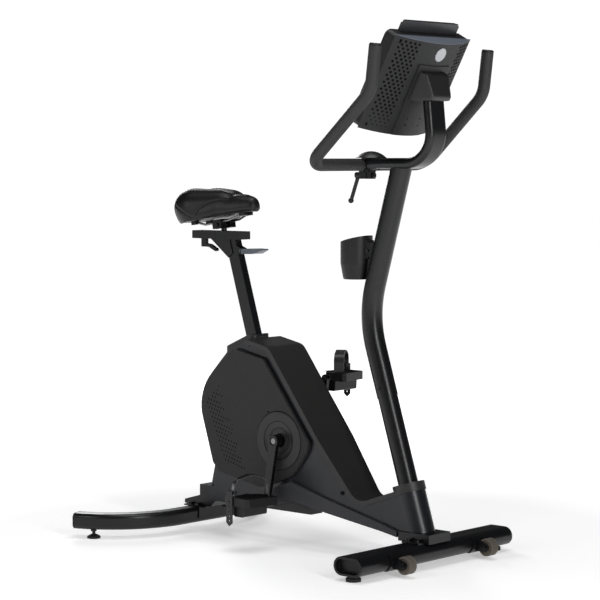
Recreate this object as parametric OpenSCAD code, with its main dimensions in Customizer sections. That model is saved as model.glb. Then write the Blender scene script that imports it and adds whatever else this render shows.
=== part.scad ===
// Upright exercise bike: steel base frame with two stabilisers, moulded shroud over a belt drive
// and magnetic flywheel, bent mast with console, tilting handlebar and an adjustable padded saddle.
// +X points forward, +Y to the rider's left, +Z up. The origin is on the floor under the middle.

/* [Front stabiliser] */
// Length of the front stabiliser tube
front_len = 664; // [560:1:720]
// Width of the front tube along X
front_w = 98; // [90:1:110]
// Height of the front tube
front_h = 52; // [48:1:60]
// Wall of the frame tubes
tube_wall = 2.5; // [2:0.5:3]
// Clearance of the stabiliser tubes above the floor
foot_h = 16; // [14:1:20]
// Radius of the rubber feet
foot_r = 21; // [15:1:24]
// Distance of each rubber foot from the middle
foot_inset = 20; // [14:1:60]

/* [Transport wheels] */
// Radius of the transport wheels
wheel_r = 25; // [22:1:27]
// Width of the transport wheels
wheel_w = 26; // [20:1:30]
// Distance of each wheel from the middle
wheel_y = 183; // [120:1:230]
// Height of the wheel axis
wheel_z = 35; // [32:1:40]
// Radius of the wheel bolts
wheel_bolt_r = 4; // [3:0.5:5]

/* [Rear stabiliser] */
// Distance between the stabiliser tubes, along X
wheelbase = 872; // [850:1:900]
// Width of the rear tube
rear_w = 56; // [50:1:60]
// Height of the rear tube
rear_h = 48; // [44:1:52]
// Height of the rear tube's underside
rear_z = 28; // [26:1:34]
// Half length of the straight middle of the rear tube
rear_straight = 110; // [90:1:140]
// Radius of the swept ends, at the centre line
rear_bend_r = 255; // [220:1:280]
// Angle that each rear end sweeps back
rear_sweep = 72; // [60:1:80]
// Angle along the sweep at which the levelling feet stand
level_sweep = 61; // [50:1:66]
// Radius of the levelling pads
level_pad_r = 20; // [14:1:24]
// Radius of the levelling stems
level_stem_r = 5; // [4:0.5:6]

/* [Drive] */
// Distance from the front tube back to the crank axis
crank_back = 487; // [470:1:500]
// Height of the crank axis
crank_z = 314; // [300:1:330]
// Crank length, from axis to pedal spindle
crank_len = 173; // [165:1:178]
// Angle of the right crank, measured from +X towards +Z
crank_angle = -99; // [-180:1:180]
// Distance of the crank's outer face from the middle
crank_out = 104; // [100:1:110]
// Radius of the crank axle
axle_r = 8.5; // [8:0.5:10]
// Radius of the crank pulley
pulley_r = 98; // [80:1:102]
// Radius of the flywheel
flywheel_r = 99; // [80:1:101]
// Thickness of the flywheel
flywheel_t = 20; // [12:1:22]
// Distance from the crank axis back to the flywheel axis
flywheel_back = 203; // [198:1:206]
// Height of the flywheel axis over the crank axis
flywheel_up = 36; // [20:1:45]
// Radius of the flywheel's belt pulley
small_pulley_r = 17; // [14:1:24]
// Thickness of the drive belt
belt_t = 2.4; // [1.5:0.1:3]

/* [Pedals] */
// Radius of the pedal spindles
spindle_r = 7; // [6:0.5:7.5]
// Width of the pedals across the bike
pedal_w = 112; // [100:1:120]
// Height of the foot strap above the pedal
strap_h = 66; // [55:1:75]
// Width of the foot strap
strap_w = 30; // [24:1:34]

/* [Shroud] */
// Half width of the shroud's body
shroud_half = 64; // [63:1:68]
// How far each side panel stands out from the body
panel_t = 13; // [10:1:15]
// Wall of the mouldings
skin = 3; // [2:0.5:3.5]
// Radius of the shroud's collar round the mast
collar_r = 43; // [40:1:46]
// Radius of the round cover at each crank
cover_r = 85; // [70:1:86]

/* [Mast] */
// Radius of the upper mast tube
mast_r = 30; // [28:0.5:31]
// Radius of the lower mast tube
lower_r = 28.5; // [26:0.5:29]
// Angle that the lower mast leans back
lower_lean = 17.6; // [15:0.1:20]
// Angle that the upper mast leans forward
upper_lean = 15.8; // [13:0.1:18]
// Height of the mast's bend, where its straight lines cross
bend_z = 687; // [660:1:710]
// Radius of the mast's bend
mast_bend_r = 300; // [200:5:350]
// Height of the joint between the two mast tubes
joint_z = 462; // [440:1:520]
// Height of the neck's centre line
neck_z = 1119; // [1100:1:1130]
// Width of the flat oval neck
neck_w = 74; // [66:1:78]
// Thickness of the flat oval neck
neck_t = 30; // [26:1:32]
// Distance from the front tube forward to the neck's upright part
neck_ahead = 37; // [28:1:42]

/* [Handlebar] */
// Distance from the front tube back to the crossbar
bar_back = 212; // [205:1:218]
// Height of the crossbar
bar_z = 1115; // [1113:1:1117]
// Half width of the handlebar, at the crossbar's corners
bar_half = 252; // [215:1:270]
// Half width of the handlebar, at its bends and tips
grip_half = 247; // [215:1:270]
// Height of the bends in the grips
grip_bend_z = 1312; // [1280:1:1330]
// Height of the grip tips
grip_tip_z = 1432; // [1400:1:1450]
// Radius of the handlebar tube
bar_r = 14; // [12.5:0.5:15]
// Radius over the foam grips
foam_r = 17.5; // [16:0.5:19]

/* [Console] */
// Angle that the console leans forward, from upright
console_tilt = 28.5; // [22:0.1:32]
// Width of the console
console_w = 330; // [300:1:350]
// Height of the console along its back
console_h = 282; // [265:1:295]
// Depth of the back shell's bulge
console_bulge = 45; // [35:1:50]
// Thickness of the rider's side of the console
console_front_t = 36; // [32:1:40]
// Height of the middle of the console's lower back edge
console_z = 1196; // [1190:1:1202]
// Distance from the front tube back to that edge
console_back = 75; // [70:1:80]
// Width of the tablet rest
rest_w = 250; // [200:1:280]
// How far the tablet rest is drawn out
rest_out = 31; // [10:1:40]

/* [Bottle holder] */
// Radius of the bottle holder
bottle_r = 46; // [40:1:48]
// Height of the bottle holder's base
bottle_z = 790; // [780:1:810]

/* [Seat] */
// Angle that the seat post leans back
post_lean = 17; // [14:0.1:19]
// Distance from the front tube back to the post axis, at the top of the shroud
post_back = 658; // [650:1:664]
// Depth of the seat post, front to back
post_d = 40; // [36:1:44]
// Width of the seat post
post_w = 26; // [24:1:30]
// Height of the seat rail's centre
rail_z = 903; // [895:1:910]
// Length of the seat rail
rail_len = 201; // [190:1:215]
// Width of the seat rail
rail_w = 44; // [40:1:48]
// Height of the seat rail
rail_h = 24; // [22:1:26]
// Distance from the front tube back to the middle of the seat rail
rail_back = 794; // [788:1:800]
// Width of the saddle
saddle_w = 236; // [200:1:250]
// Angle that the saddle's underside rises forward
saddle_tilt = 9.5; // [6:0.5:11]

/* [Hidden] */
$fn = 48;

// Clearance between bodies that move past each other
gap = 0.3;
// Radial clearance of a shaft in its bore
run = 0.05;
cap_t = 6;
plate_t = 26;
flange_t = 6;
bracket_t = 3;
bolt_r = 4;
screw_r = 2;

// Places along X, worked out so that the whole bike is centred on the origin
wheel_ahead = front_w / 2 + bracket_t + 2 + wheel_r;
foot_y = front_len / 2 - foot_inset;
reach_front = wheel_ahead + wheel_r;
reach_rear = wheelbase + rear_bend_r - (rear_bend_r - rear_w / 2) * cos(rear_sweep) + cap_t * sin(rear_sweep);
x_front = (reach_rear - reach_front) / 2;
x_wheel = x_front + wheel_ahead;
x_rear = x_front - wheelbase;
x_crank = x_front - crank_back;
x_bar = x_front - bar_back;
x_flywheel = x_crank - flywheel_back;
z_flywheel = crank_z + flywheel_up;
z_front_top = foot_h + front_h;
z_rear_top = rear_z + rear_h;
z_plate = z_front_top + plate_t;
z_beam = z_rear_top + 22;
beam_h = 44;
beam_w = 50;

// Mast axis: foot, joint, bend and top
mast_foot = [x_front - 24, 0, z_plate];
lower_dir = [-sin(lower_lean), 0, cos(lower_lean)];
upper_dir = [sin(upper_lean), 0, cos(upper_lean)];
function on_lower(z) = mast_foot + lower_dir * ((z - z_plate) / lower_dir[2]);
mast_bend = on_lower(bend_z);
mast_joint = on_lower(joint_z);
mast_top = mast_bend + upper_dir * ((neck_z - bend_z) / upper_dir[2]);
neck_lean = 6;
neck_bend_r = 84;
neck_corner = [x_front + neck_ahead, 0, neck_z];
neck_top = neck_corner + [-sin(neck_lean), 0, cos(neck_lean)] * 205;
clamp_ring_r = 22;

// Seat post axis, from the top of the shroud
post_dir = [-sin(post_lean), 0, cos(post_lean)];
post_ref = [x_front - post_back, 0, 610];
function on_post(z) = post_ref + post_dir * ((z - post_ref[2]) / post_dir[2]);
post_low_z = 372;
receiver_wall = 2.5;
x_rail = x_front - rail_back;
rail_wall = 2.2;
x_stem = x_front - 781;
x_slider_screw = x_front - 862;
z_rail_top = rail_z + rail_h / 2;
z_tilt = z_rail_top + 18;

// Handlebar path on one side: crossbar corner, bend and tip
bar_corner_r = 48;
bar_bend_r = 75;
grip_lean = 7;
function bar_corner(s) = [x_bar, s * bar_half, bar_z];
function bar_bend(s) = [x_bar + 215, s * grip_half, grip_bend_z];
function bar_tip(s) = bar_bend(s) + [sin(grip_lean), 0, cos(grip_lean)] * (grip_tip_z - grip_bend_z);

// Rear stabiliser: a point on its centre line at an angle along the sweep
function rear_at(s, a) = [x_rear - rear_bend_r + rear_bend_r * cos(a), s * (rear_straight + rear_bend_r * sin(a))];

// ---------- outline helpers ----------

function unit(v) = v / norm(v);

// Arc that rounds corner b of the outline a-b-c with radius r, as a list of points
function corner_arc(a, b, c, r) =
    r <= 0 ? [b] :
    let(u = unit(a - b), v = unit(c - b), half = acos(u * v) / 2, t = r / tan(half))
    let(m = unit(u + v), o = b + m * (r / sin(half)), p = b + u * t - o, q = b + v * t - o)
    let(a0 = atan2(p[1], p[0]), d = atan2(p[0] * q[1] - p[1] * q[0], p * q), n = max(3, ceil(abs(d) / 9)))
    [for (i = [0:n]) o + r * [cos(a0 + d * i / n), sin(a0 + d * i / n)]];

// Outline with rounded corners; each point is [x, y, radius]
function rounded(pts) = let(n = len(pts)) [
    for (i = [0:n - 1])
        let(a = pts[(i + n - 1) % n], b = pts[i], c = pts[(i + 1) % n])
        for (p = corner_arc([a[0], a[1]], [b[0], b[1]], [c[0], c[1]], b[2])) p
];

// Outline moved inward by d along its own normals; the outline runs counter-clockwise
function inset(pts, d) = let(n = len(pts)) [
    for (i = [0:n - 1])
        let(u = unit(pts[i] - pts[(i + n - 1) % n]), v = unit(pts[(i + 1) % n] - pts[i]))
        let(nu = [-u[1], u[0]], nv = [-v[1], v[0]])
        pts[i] + (nu + nv) * (d / (1 + nu * nv))
];

// Side profile, points in X and Z, extruded from y0 to y1
module side(pts, y0, y1) {
    translate([0, y1, 0]) rotate([90, 0, 0]) linear_extrude(y1 - y0) polygon(pts);
}

// Cylinder along Y from y0 to y1
module cyl_y(x, z, y0, y1, r) {
    translate([x, y0, z]) rotate([-90, 0, 0]) cylinder(h = y1 - y0, r = r);
}

// Cylinder along X from x0 to x1
module cyl_x(x0, x1, y, z, r) {
    translate([x0, y, z]) rotate([0, 90, 0]) cylinder(h = x1 - x0, r = r);
}

// Round rod from point a to point b
module rod(a, b, r) {
    v = b - a;
    translate(a) rotate([0, acos(v[2] / norm(v)), atan2(v[1], v[0])]) cylinder(h = norm(v), r = r);
}

// Section swept straight from a to b in the XZ plane; the section's second axis is Y
module beam(a, b) {
    z = unit(b - a);
    x = cross([0, 1, 0], z);
    multmatrix([[x[0], 0, z[0], a[0]], [x[1], 1, z[1], a[1]], [x[2], 0, z[2], a[2]], [0, 0, 0, 1]])
        linear_extrude(norm(b - a)) children();
}

function tangent(a, b, c, r) = r * tan(acos(unit(b - a) * unit(c - b)) / 2);

// Section swept round the corner b of the path a-b-c; the section's second axis is the bend's axis
module elbow(a, b, c, r) {
    u = unit(b - a);
    v = unit(c - b);
    n = unit(v - (u * v) * u);
    w = cross(u, n);
    o = b - tangent(a, b, c, r) * u + r * n;
    multmatrix([[-n[0], u[0], w[0], o[0]], [-n[1], u[1], w[1], o[1]], [-n[2], u[2], w[2], o[2]], [0, 0, 0, 1]])
        rotate_extrude(angle = acos(u * v)) translate([r, 0]) children();
}

// Straight stretches run this far into a bend, and the bend is this much thicker
bend_lap = 0.5;
bend_swell = 0.06;

// Round rod along a path, bent at its inner points with the given radii
module bent_rod(path, radii, r) {
    last = len(path) - 1;
    pts = [for (p = path) p - path[1]];
    function trim(i) = i == 0 || i == last ? 0 : tangent(pts[i - 1], pts[i], pts[i + 1], radii[i - 1]) - bend_lap;
    translate(path[1]) {
        for (i = [0:last - 1]) {
            u = unit(pts[i + 1] - pts[i]);
            rod(pts[i] + u * trim(i), pts[i + 1] - u * trim(i + 1), r);
        }
        for (i = [1:last - 1])
            elbow(pts[i - 1], pts[i], pts[i + 1], radii[i - 1]) circle(r + bend_swell);
    }
}

module obround(w, h) {
    square([w - h, h], center = true);
    for (s = [-1, 1]) translate([s * (w - h) / 2, 0]) circle(h / 2);
}

module rrect(w, h, r) {
    square([w - 2 * r, h], center = true);
    square([w, h - 2 * r], center = true);
    for (sx = [-1, 1], sy = [-1, 1]) translate([sx * (w / 2 - r), sy * (h / 2 - r)]) circle(r);
}

// Socket-head bolt: head seated at the origin, shank along -Z
module bolt(r, length, head_h = 5) {
    translate([0, 0, -length]) cylinder(h = length, r = r);
    difference() {
        cylinder(h = head_h, r = r * 1.75);
        translate([0, 0, head_h - 2.5]) cylinder(h = 3, r = r * 0.8);
    }
}

// Mirrors a part made for the left side to both sides
module both_sides() {
    children();
    mirror([0, 1, 0]) children();
}

// Outline point given by its distance from the front tube, its height and its corner radius
function pt(x, z, r = 0) = [x_front + x, z, r];

// ---------- stabilisers ----------

module front_tube(d, over = 0) {
    translate([x_front, -front_len / 2 - over, foot_h + front_h / 2]) rotate([-90, 0, 0])
        linear_extrude(front_len + 2 * over) obround(front_w - 2 * d, front_h - 2 * d);
}

module wheel_bracket() {
    ear = wheel_w / 2 + gap;
    for (y = [wheel_y - ear - bracket_t, wheel_y + ear]) {
        cyl_y(x_wheel, wheel_z, y, y + bracket_t, 12);
        side([
            [x_front + front_w / 2 - 14, foot_h + 6],
            [x_wheel - 2, wheel_z - 12],
            [x_wheel + 3, wheel_z + 11.6],
            [x_front + front_w / 2 - 14, foot_h + front_h - 6]
        ], y, y + bracket_t);
    }
    intersection() {
        front_tube(-bracket_t);
        translate([x_front + front_w / 2 - 26, wheel_y - 34, foot_h]) cube([60, 68, front_h - 4]);
    }
}

module base_bolt_places() {
    for (x = [-16, 16], y = [-60, 60])
        translate([x_front + x, y, z_front_top + flange_t]) children();
}

module wheel_bolt_places() {
    for (s = [-1, 1], y = [-27, 27])
        translate([x_front + front_w / 2 + bracket_t, s * wheel_y + y, foot_h + front_h / 2])
            rotate([0, 90, 0]) children();
}

module front_stabilizer() color("#1a1b1d") difference() {
    union() {
        front_tube(0);
        both_sides() wheel_bracket();
    }
    front_tube(tube_wall, 1);
    both_sides() cyl_y(x_wheel, wheel_z, wheel_y - 30, wheel_y + 30, wheel_bolt_r);
    base_bolt_places() translate([0, 0, -20]) cylinder(h = 30, r = bolt_r);
    wheel_bolt_places() translate([0, 0, -15]) cylinder(h = 20, r = 2.5);
}

module rear_sweep_place() {
    translate([x_rear - rear_bend_r, rear_straight, rear_z + rear_h / 2]) children();
}

module rear_tube(d) {
    module section() { rrect(rear_w - 2 * d, rear_h - 2 * d, 14 - d); }
    translate([x_rear, -rear_straight, rear_z + rear_h / 2]) rotate([-90, 0, 0])
        linear_extrude(2 * rear_straight) section();
    both_sides() rear_sweep_place() rotate_extrude(angle = rear_sweep) translate([rear_bend_r, 0]) section();
}

module level_places() {
    for (s = [-1, 1]) {
        p = rear_at(s, level_sweep);
        translate([p[0], p[1], 0]) children();
    }
}

module saddle_bolt_places() {
    for (x = [-14, 14], y = [-42, 42])
        translate([x_rear + x, y, z_rear_top + 4]) children();
}

module rear_stabilizer() color("#1a1b1d") difference() {
    union() {
        difference() {
            rear_tube(0);
            rear_tube(tube_wall);
        }
        level_places() translate([0, 0, rear_z]) cylinder(h = 22, r = level_stem_r + 4);
    }
    level_places() translate([0, 0, rear_z - 1]) cylinder(h = 40, r = level_stem_r + run);
    saddle_bolt_places() translate([0, 0, -20]) cylinder(h = 30, r = bolt_r);
}

module stabilizer_caps() color("#141415") both_sides() {
    translate([x_front, front_len / 2, foot_h + front_h / 2]) rotate([-90, 0, 0]) difference() {
        union() {
            linear_extrude(cap_t) obround(front_w, front_h);
            translate([0, 0, -14]) linear_extrude(14) obround(front_w - 2 * tube_wall, front_h - 2 * tube_wall);
        }
        translate([0, 0, -11]) linear_extrude(40) obround(front_w - 14, front_h - 14);
    }
    rear_sweep_place() rotate([0, 0, rear_sweep]) translate([rear_bend_r, 0, 0]) rotate([-90, 0, 0]) {
        linear_extrude(cap_t) rrect(rear_w, rear_h, 14);
        translate([0, 0, -12]) linear_extrude(12.5) rrect(rear_w - 2 * tube_wall - 1, rear_h - 2 * tube_wall - 1, 11);
    }
}

module front_feet() color("#101010") for (s = [-1, 1]) translate([x_front, s * foot_y, 0]) {
    cylinder(h = 9, r = foot_r);
    translate([0, 0, 9]) cylinder(h = foot_h - 9, r = foot_r - 4);
}

module transport_wheel(s) color("#5b554c") difference() {
    union() {
        cyl_y(x_wheel, wheel_z, s * wheel_y - wheel_w / 2, s * wheel_y + wheel_w / 2, wheel_r);
    }
    cyl_y(x_wheel, wheel_z, s * wheel_y - wheel_w, s * wheel_y + wheel_w, wheel_bolt_r + run);
    for (side_y = [-1, 1])
        translate([x_wheel, s * wheel_y + side_y * wheel_w / 2, wheel_z]) rotate([90, 0, 0])
            difference() {
                cylinder(h = 6, r = wheel_r - 5, center = true);
                cylinder(h = 8, r = wheel_bolt_r + 4, center = true);
            }
}
module transport_wheel_right() { transport_wheel(-1); }
module transport_wheel_left() { transport_wheel(1); }

module level_foot(s) color("#161616") {
    p = rear_at(s, level_sweep);
    translate([p[0], p[1], 0]) {
        cylinder(h = 6, r = level_pad_r);
        translate([0, 0, 6]) cylinder(h = 6, r1 = level_pad_r, r2 = level_stem_r + 4);
        cylinder(h = rear_z + 20, r = level_stem_r);
        translate([0, 0, rear_z - 7]) cylinder(h = 6, r = level_stem_r + 4, $fn = 6);
    }
}
module level_foot_right() { level_foot(-1); }
module level_foot_left() { level_foot(1); }

// ---------- base frame ----------

receiver_d = post_d + 2 * gap + 2 * receiver_wall;
receiver_w = post_w + 2 * gap + 2 * receiver_wall;
receiver_top = on_post(584);
receiver_low = on_post(z_beam + beam_h - 6);
bearing_r = 17.5;
bearing_t = 10;
shell_half = 34;
plate_in = 12;
plate_out = 20;
brake_pivot = [x_flywheel - 52, z_flywheel + 108];
cheek_t = 2.5;
magnet_t = 3;
brake_air = 1.5;
flywheel_y = plate_out + 3 + cheek_t + magnet_t + brake_air;
brake_out = flywheel_y + flywheel_t + brake_air + magnet_t + cheek_t;
front_beam_a = [x_crank + 30, 0, z_beam + beam_h + 26];
front_beam_b = [x_front - 40, 0, z_front_top + 26.5];
front_beam_h = 34;

module rear_saddle() {
    outline = [
        [x_rear - 46, z_rear_top + 4], [x_rear + 66, z_rear_top + 4], [x_rear + 84, z_beam],
        [x_rear + 84, z_beam + beam_h], [x_rear + 44, z_rear_top + 42], [x_rear - 46, z_rear_top + 16]
    ];
    translate([x_rear - 34, -50, z_rear_top]) cube([90, 100, 4]);
    translate([x_rear + rear_w / 2, -50, rear_z + 14]) cube([4, 100, rear_h - 12]);
    difference() {
        side(outline, -34, 34);
        side(inset(outline, 4), -30, 30);
    }
}

module flywheel_plate(y0, y1) {
    side([
        [x_flywheel - 55, z_beam + beam_h - 4], [x_flywheel + 50, z_beam + beam_h - 4],
        [x_flywheel + 24, z_flywheel], [x_flywheel + 16, z_flywheel + 24],
        [brake_pivot[0] + 13, brake_pivot[1]], [brake_pivot[0], brake_pivot[1] + 12],
        [brake_pivot[0] - 13, brake_pivot[1]], [x_flywheel - 26, z_flywheel]
    ], y0, y1);
    cyl_y(x_flywheel, z_flywheel, y0, y1 + 2 * sign(y1), bearing_r + 5);
}

module mast_base() {
    translate([x_front - 62, -48, z_front_top]) cube([110, 96, plate_t]);
    translate([x_front - 30, -72, z_front_top]) cube([60, 144, flange_t]);
    rod(on_lower(z_front_top + 8), on_lower(z_plate + 60), lower_r + 0.1 + 4);
}

module frame_members() {
    translate([x_rear + 10, -beam_w / 2, z_beam]) cube([x_front - 408 - x_rear - 10, beam_w, beam_h]);
    beam(front_beam_a, front_beam_b) square([front_beam_h, 40], center = true);
    beam(receiver_low, receiver_top) square([receiver_d, receiver_w], center = true);
}

brace_top = [x_crank + 4, 0, crank_z - 14];
brace_low = [x_crank + 26, 0, z_beam + beam_h - 4];
brace_l = 34;
brace_w = 30;

module main_frame() color("#191a1c") difference() {
    union() {
        difference() {
            frame_members();
            translate([x_rear + 40, -beam_w / 2 + tube_wall, z_beam + tube_wall])
                cube([x_front - 408 - x_rear - 43, beam_w - 2 * tube_wall, beam_h - 2 * tube_wall]);
            beam(front_beam_a + [12, 0, -2], front_beam_b + [20, 0, -3])
                square([front_beam_h - 2 * tube_wall, 40 - 2 * tube_wall], center = true);
        }
        rear_saddle();
        cyl_y(x_crank, crank_z, -shell_half, shell_half, bearing_r + 6);
        beam(brace_top, brace_low) square([brace_l, brace_w], center = true);
        side([
            [on_post(250)[0], 250], [x_crank, crank_z - 18], [x_crank, crank_z + 18], [on_post(370)[0], 370]
        ], -5, 5);
        flywheel_plate(plate_in, plate_out);
        mirror([0, 1, 0]) flywheel_plate(plate_in, plate_out);
        cyl_y(brake_pivot[0], brake_pivot[1], plate_out - 2, brake_out + 1, bolt_r);
        mast_base();
    }
    beam(receiver_low - post_dir * 10, receiver_top + post_dir * 10)
        square([post_d + 2 * gap, post_w + 2 * gap], center = true);
    for (s = [-1, 1]) {
        cyl_y(x_crank, crank_z, s > 0 ? shell_half - 12 : -shell_half - 1, s > 0 ? shell_half + 1 : 12 - shell_half, bearing_r);
        cyl_y(x_flywheel, z_flywheel, s > 0 ? plate_in - 1 : -plate_out - 4, s > 0 ? plate_out + 4 : 1 - plate_in, bearing_r);
    }
    cyl_y(x_crank, crank_z, -shell_half, shell_half, bearing_r - 4);
    rod(on_lower(z_plate - 14), on_lower(z_plate + 80), lower_r + 0.1);
    base_bolt_places() translate([0, 0, -flange_t - 1]) cylinder(h = 20, r = bolt_r);
    saddle_bolt_places() translate([0, 0, -5]) cylinder(h = 20, r = bolt_r);
}

// Screws that hold the two mast tubes together, one on each side and one behind
mast_screw = on_lower(joint_z + 24);
module mast_screw_places() {
    for (a = [0, 90, 180])
        translate(mast_screw) rotate([0, -lower_lean, 0]) rotate([0, 0, a + 90]) rotate([0, 90, 0])
            translate([0, 0, mast_r]) children();
}

bottle_x = x_front - 257;
bottle_bolt = [x_front - 206, bottle_z + 82];

module frame_bolts() color("#3a3b3d") {
    base_bolt_places() bolt(bolt_r, 14);
    saddle_bolt_places() bolt(bolt_r, 14);
    wheel_bolt_places() bolt(2.5, 9, 4);
    both_sides() translate([x_wheel, wheel_y + wheel_w / 2 + gap + bracket_t, wheel_z])
        rotate([-90, 0, 0]) bolt(wheel_bolt_r, wheel_w + 2 * gap + 2 * bracket_t + 5, 4);
    mast_screw_places() bolt(3, 9, 4);
    translate([bottle_bolt[0], -14, bottle_bolt[1]]) rotate([90, 0, 0]) bolt(3, 28, 4);
}

// ---------- mast ----------

module lower_mast() color("#17181a") difference() {
    union() {
        rod(on_lower(z_plate - 12), mast_joint, lower_r);
        rod(mast_joint - lower_dir, on_lower(joint_z + 55), mast_r - tube_wall - 0.1);
    }
    rod(on_lower(z_plate - 20), on_lower(joint_z + 60), lower_r - 3.5);
    mast_screw_places() translate([0, 0, -12]) cylinder(h = 20, r = 3);
}

module neck(d, over = 0) {
    module section(d) { rotate(90) obround(neck_w - 2 * d, neck_t - 2 * d); }
    start = [x_bar + 8 - x_front - neck_ahead, 0, 0];
    up = unit(neck_top - neck_corner);
    end = neck_top - neck_corner + up * over;
    t = tangent(start, [0, 0, 0], end, neck_bend_r) - bend_lap;
    translate(neck_corner) {
        beam(start, [-t, 0, 0]) section(d);
        elbow(start, [0, 0, 0], end, neck_bend_r) section(d - bend_swell);
        beam(up * t, end) section(d);
    }
}

module upper_mast() color("#1b1c1e") difference() {
    union() {
        bent_rod([mast_joint, mast_bend, mast_top], [mast_bend_r], mast_r);
        neck(0);
    }
    bent_rod([mast_joint - lower_dir * 5, mast_bend, mast_top - upper_dir * 22], [mast_bend_r], mast_r - tube_wall);
    intersection() {
        neck(tube_wall, 1);
        translate([x_bar + clamp_ring_r + 6, -50, 0]) cube([600, 100, 2000]);
    }
    cyl_y(x_bar, bar_z, -60, 60, clamp_ring_r);
    mast_screw_places() translate([0, 0, -12]) cylinder(h = 11.9, r = 3);
    mast_screw_places() translate([0, 0, -0.8]) cylinder(h = 10, r = 5.25);
}

module bottle_cup(d) {
    r = bottle_r - d;
    translate([bottle_x, 0, bottle_z])
        rotate_extrude() polygon([[0, d], [r - 9, d], [r - 7, 5 + d], [r, 46], [r, 150], [0, 150]]);
}

module bottle_holder() color("#1c1c1d") {
    difference() {
        union() {
            bottle_cup(0);
            side([
                [bottle_x + bottle_r - 6, bottle_z + 60], [bottle_bolt[0] + 40, bottle_z + 60],
                [bottle_bolt[0] + 40, bottle_z + 112], [bottle_x + bottle_r - 6, bottle_z + 112]
            ], -14, 14);
        }
        bottle_cup(2.5);
        translate([bottle_x, 0, bottle_z + 114]) rotate([0, -14, 0]) translate([-100, -100, 0]) cube(200);
        bent_rod([mast_joint, mast_bend, mast_top], [mast_bend_r], mast_r);
        rod(mast_bend, mast_top, mast_r);
        translate([bottle_bolt[0], -30, bottle_bolt[1]]) rotate([-90, 0, 0]) cylinder(h = 60, r = 3);
        translate([bottle_bolt[0] + 2, -20, 0]) cube([80, 40, 2000]);
    }
    difference() {
        side([
            [bottle_bolt[0] - 6, bottle_z + 66], [bottle_bolt[0] + 34, bottle_z + 66],
            [bottle_bolt[0] + 34, bottle_z + 106], [bottle_bolt[0] - 6, bottle_z + 106]
        ], -14, 14);
        rod(mast_bend - upper_dir * 40, mast_top, mast_r);
        translate([bottle_bolt[0], -30, bottle_bolt[1]]) rotate([-90, 0, 0]) cylinder(h = 60, r = 3);
    }
}

// ---------- shroud ----------

collar_top_z = 206;
crank_boss_r = 18;
crank_hole_r = crank_boss_r + 2;
flare_out = 10;
cover_step = 8;
panel_out = shroud_half + panel_t;
beam_end = x_front - 408;

shroud_profile = rounded([
    pt(-785, 108, 8), pt(-560, 108, 30), pt(-440, 142, 40), pt(100, 47), pt(100, 264),
    pt(-205, 153, 42), pt(-533, 578, 38), pt(-628, 597, 4), pt(-700, 566, 30), pt(-790, 474, 130),
    pt(-822, 396, 125), pt(-757, 225, 30)
]);
shroud_plan = rounded([
    [x_front - 835, -shroud_half, 40], [x_front - 330, -shroud_half, 900], [x_front - 120, 1 - collar_r, 40],
    [x_front + 110, 1 - collar_r, 0], [x_front + 110, collar_r - 1, 0], [x_front - 120, collar_r - 1, 40],
    [x_front - 330, shroud_half, 900], [x_front - 835, shroud_half, 40]
]);
flare_outline = rounded([
    pt(-520, 140, 4), pt(-440, 143, 30), pt(-64.5, 77), pt(-64.5, 92), pt(-443, 197, 18), pt(-512, 173, 10)
]);
panel_outline = rounded([
    pt(-757, 225, 14), pt(-734, 200, 14), pt(-562, 167, 60), pt(-432, 215, 100), pt(-377, 290, 80),
    pt(-371, 318, 18), pt(-550, 548, 24), pt(-671, 573, 30), pt(-786, 470, 110), pt(-812, 396, 115)
]);
spine_outline = rounded([
    pt(-622.5, 100), pt(60, 100), pt(60, 253), pt(-205, 158, 45), pt(-530, 583, 40), pt(-622.5, 602)
]);
spine_band = [pt(-622.5, 586), pt(-560, 566), pt(-232, 142), pt(-190, 132), pt(60, 215), pt(60, 300), pt(-622.5, 700)];
spine_plan = rounded([
    [x_front - 650, -panel_out, 0], [x_front - 335, -panel_out, 60], [x_front - 190, -56, 60],
    [x_front - 95, -collar_r - 2, 30], [x_front + 60, -collar_r - 2, 0], [x_front + 60, collar_r + 2, 0],
    [x_front - 95, collar_r + 2, 30], [x_front - 190, 56, 60], [x_front - 335, panel_out, 60],
    [x_front - 650, panel_out, 0]
]);

function flat(pts) = [for (p = pts) [p[0], p[1]]];

// Everything behind the mast's axis
module behind_mast() {
    side([[x_front - 1200, -50], [on_lower(-50)[0], -50], [on_lower(900)[0], 900], [x_front - 1200, 900]], -200, 200);
}

module shroud_solid(d) {
    intersection() {
        union() {
            intersection() {
                side(inset(shroud_profile, d), -100, 100);
                linear_extrude(700) polygon(inset(shroud_plan, d));
            }
            intersection() {
                side(inset(flare_outline, d), -100, 100);
                linear_extrude(700) polygon(inset(shroud_plan, d - flare_out));
            }
        }
        behind_mast();
    }
    intersection() {
        rod(on_lower(z_plate - 40), on_lower(d > 0 ? collar_top_z + 50 : collar_top_z), collar_r - d);
        translate([x_front - 300, -100, z_plate - (d > 0 ? 1 : 0)]) cube([600, 200, 400]);
    }
}

// Spaces that the frame fills inside the mouldings
module frame_cuts() {
    translate([x_rear - 100, -beam_w / 2 - gap, 0]) cube([beam_end + gap - x_rear + 100, beam_w + 2 * gap, z_beam + beam_h + gap]);
    translate([x_front - 62 - gap, -60, 0]) cube([200, 120, z_plate]);
    beam(front_beam_a, front_beam_b) square([front_beam_h + 2 * gap, 40 + 2 * gap], center = true);
    beam(receiver_low, receiver_top + post_dir * 60) square([receiver_d + 2 * gap, receiver_w + 2 * gap], center = true);
    beam(brace_top, brace_low + (brace_low - brace_top) * 0.02)
        square([brace_l + 2 * gap, brace_w + 2 * gap], center = true);
    rod(on_lower(z_plate - 20), on_lower(z_plate + 200), lower_r + 0.5);
    rod(on_lower(z_plate - 20), on_lower(z_plate + 62), lower_r + 4.4);
}

shroud_boss = [pt(-770, 152), pt(-578, 535), pt(-262, 180)];

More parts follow.
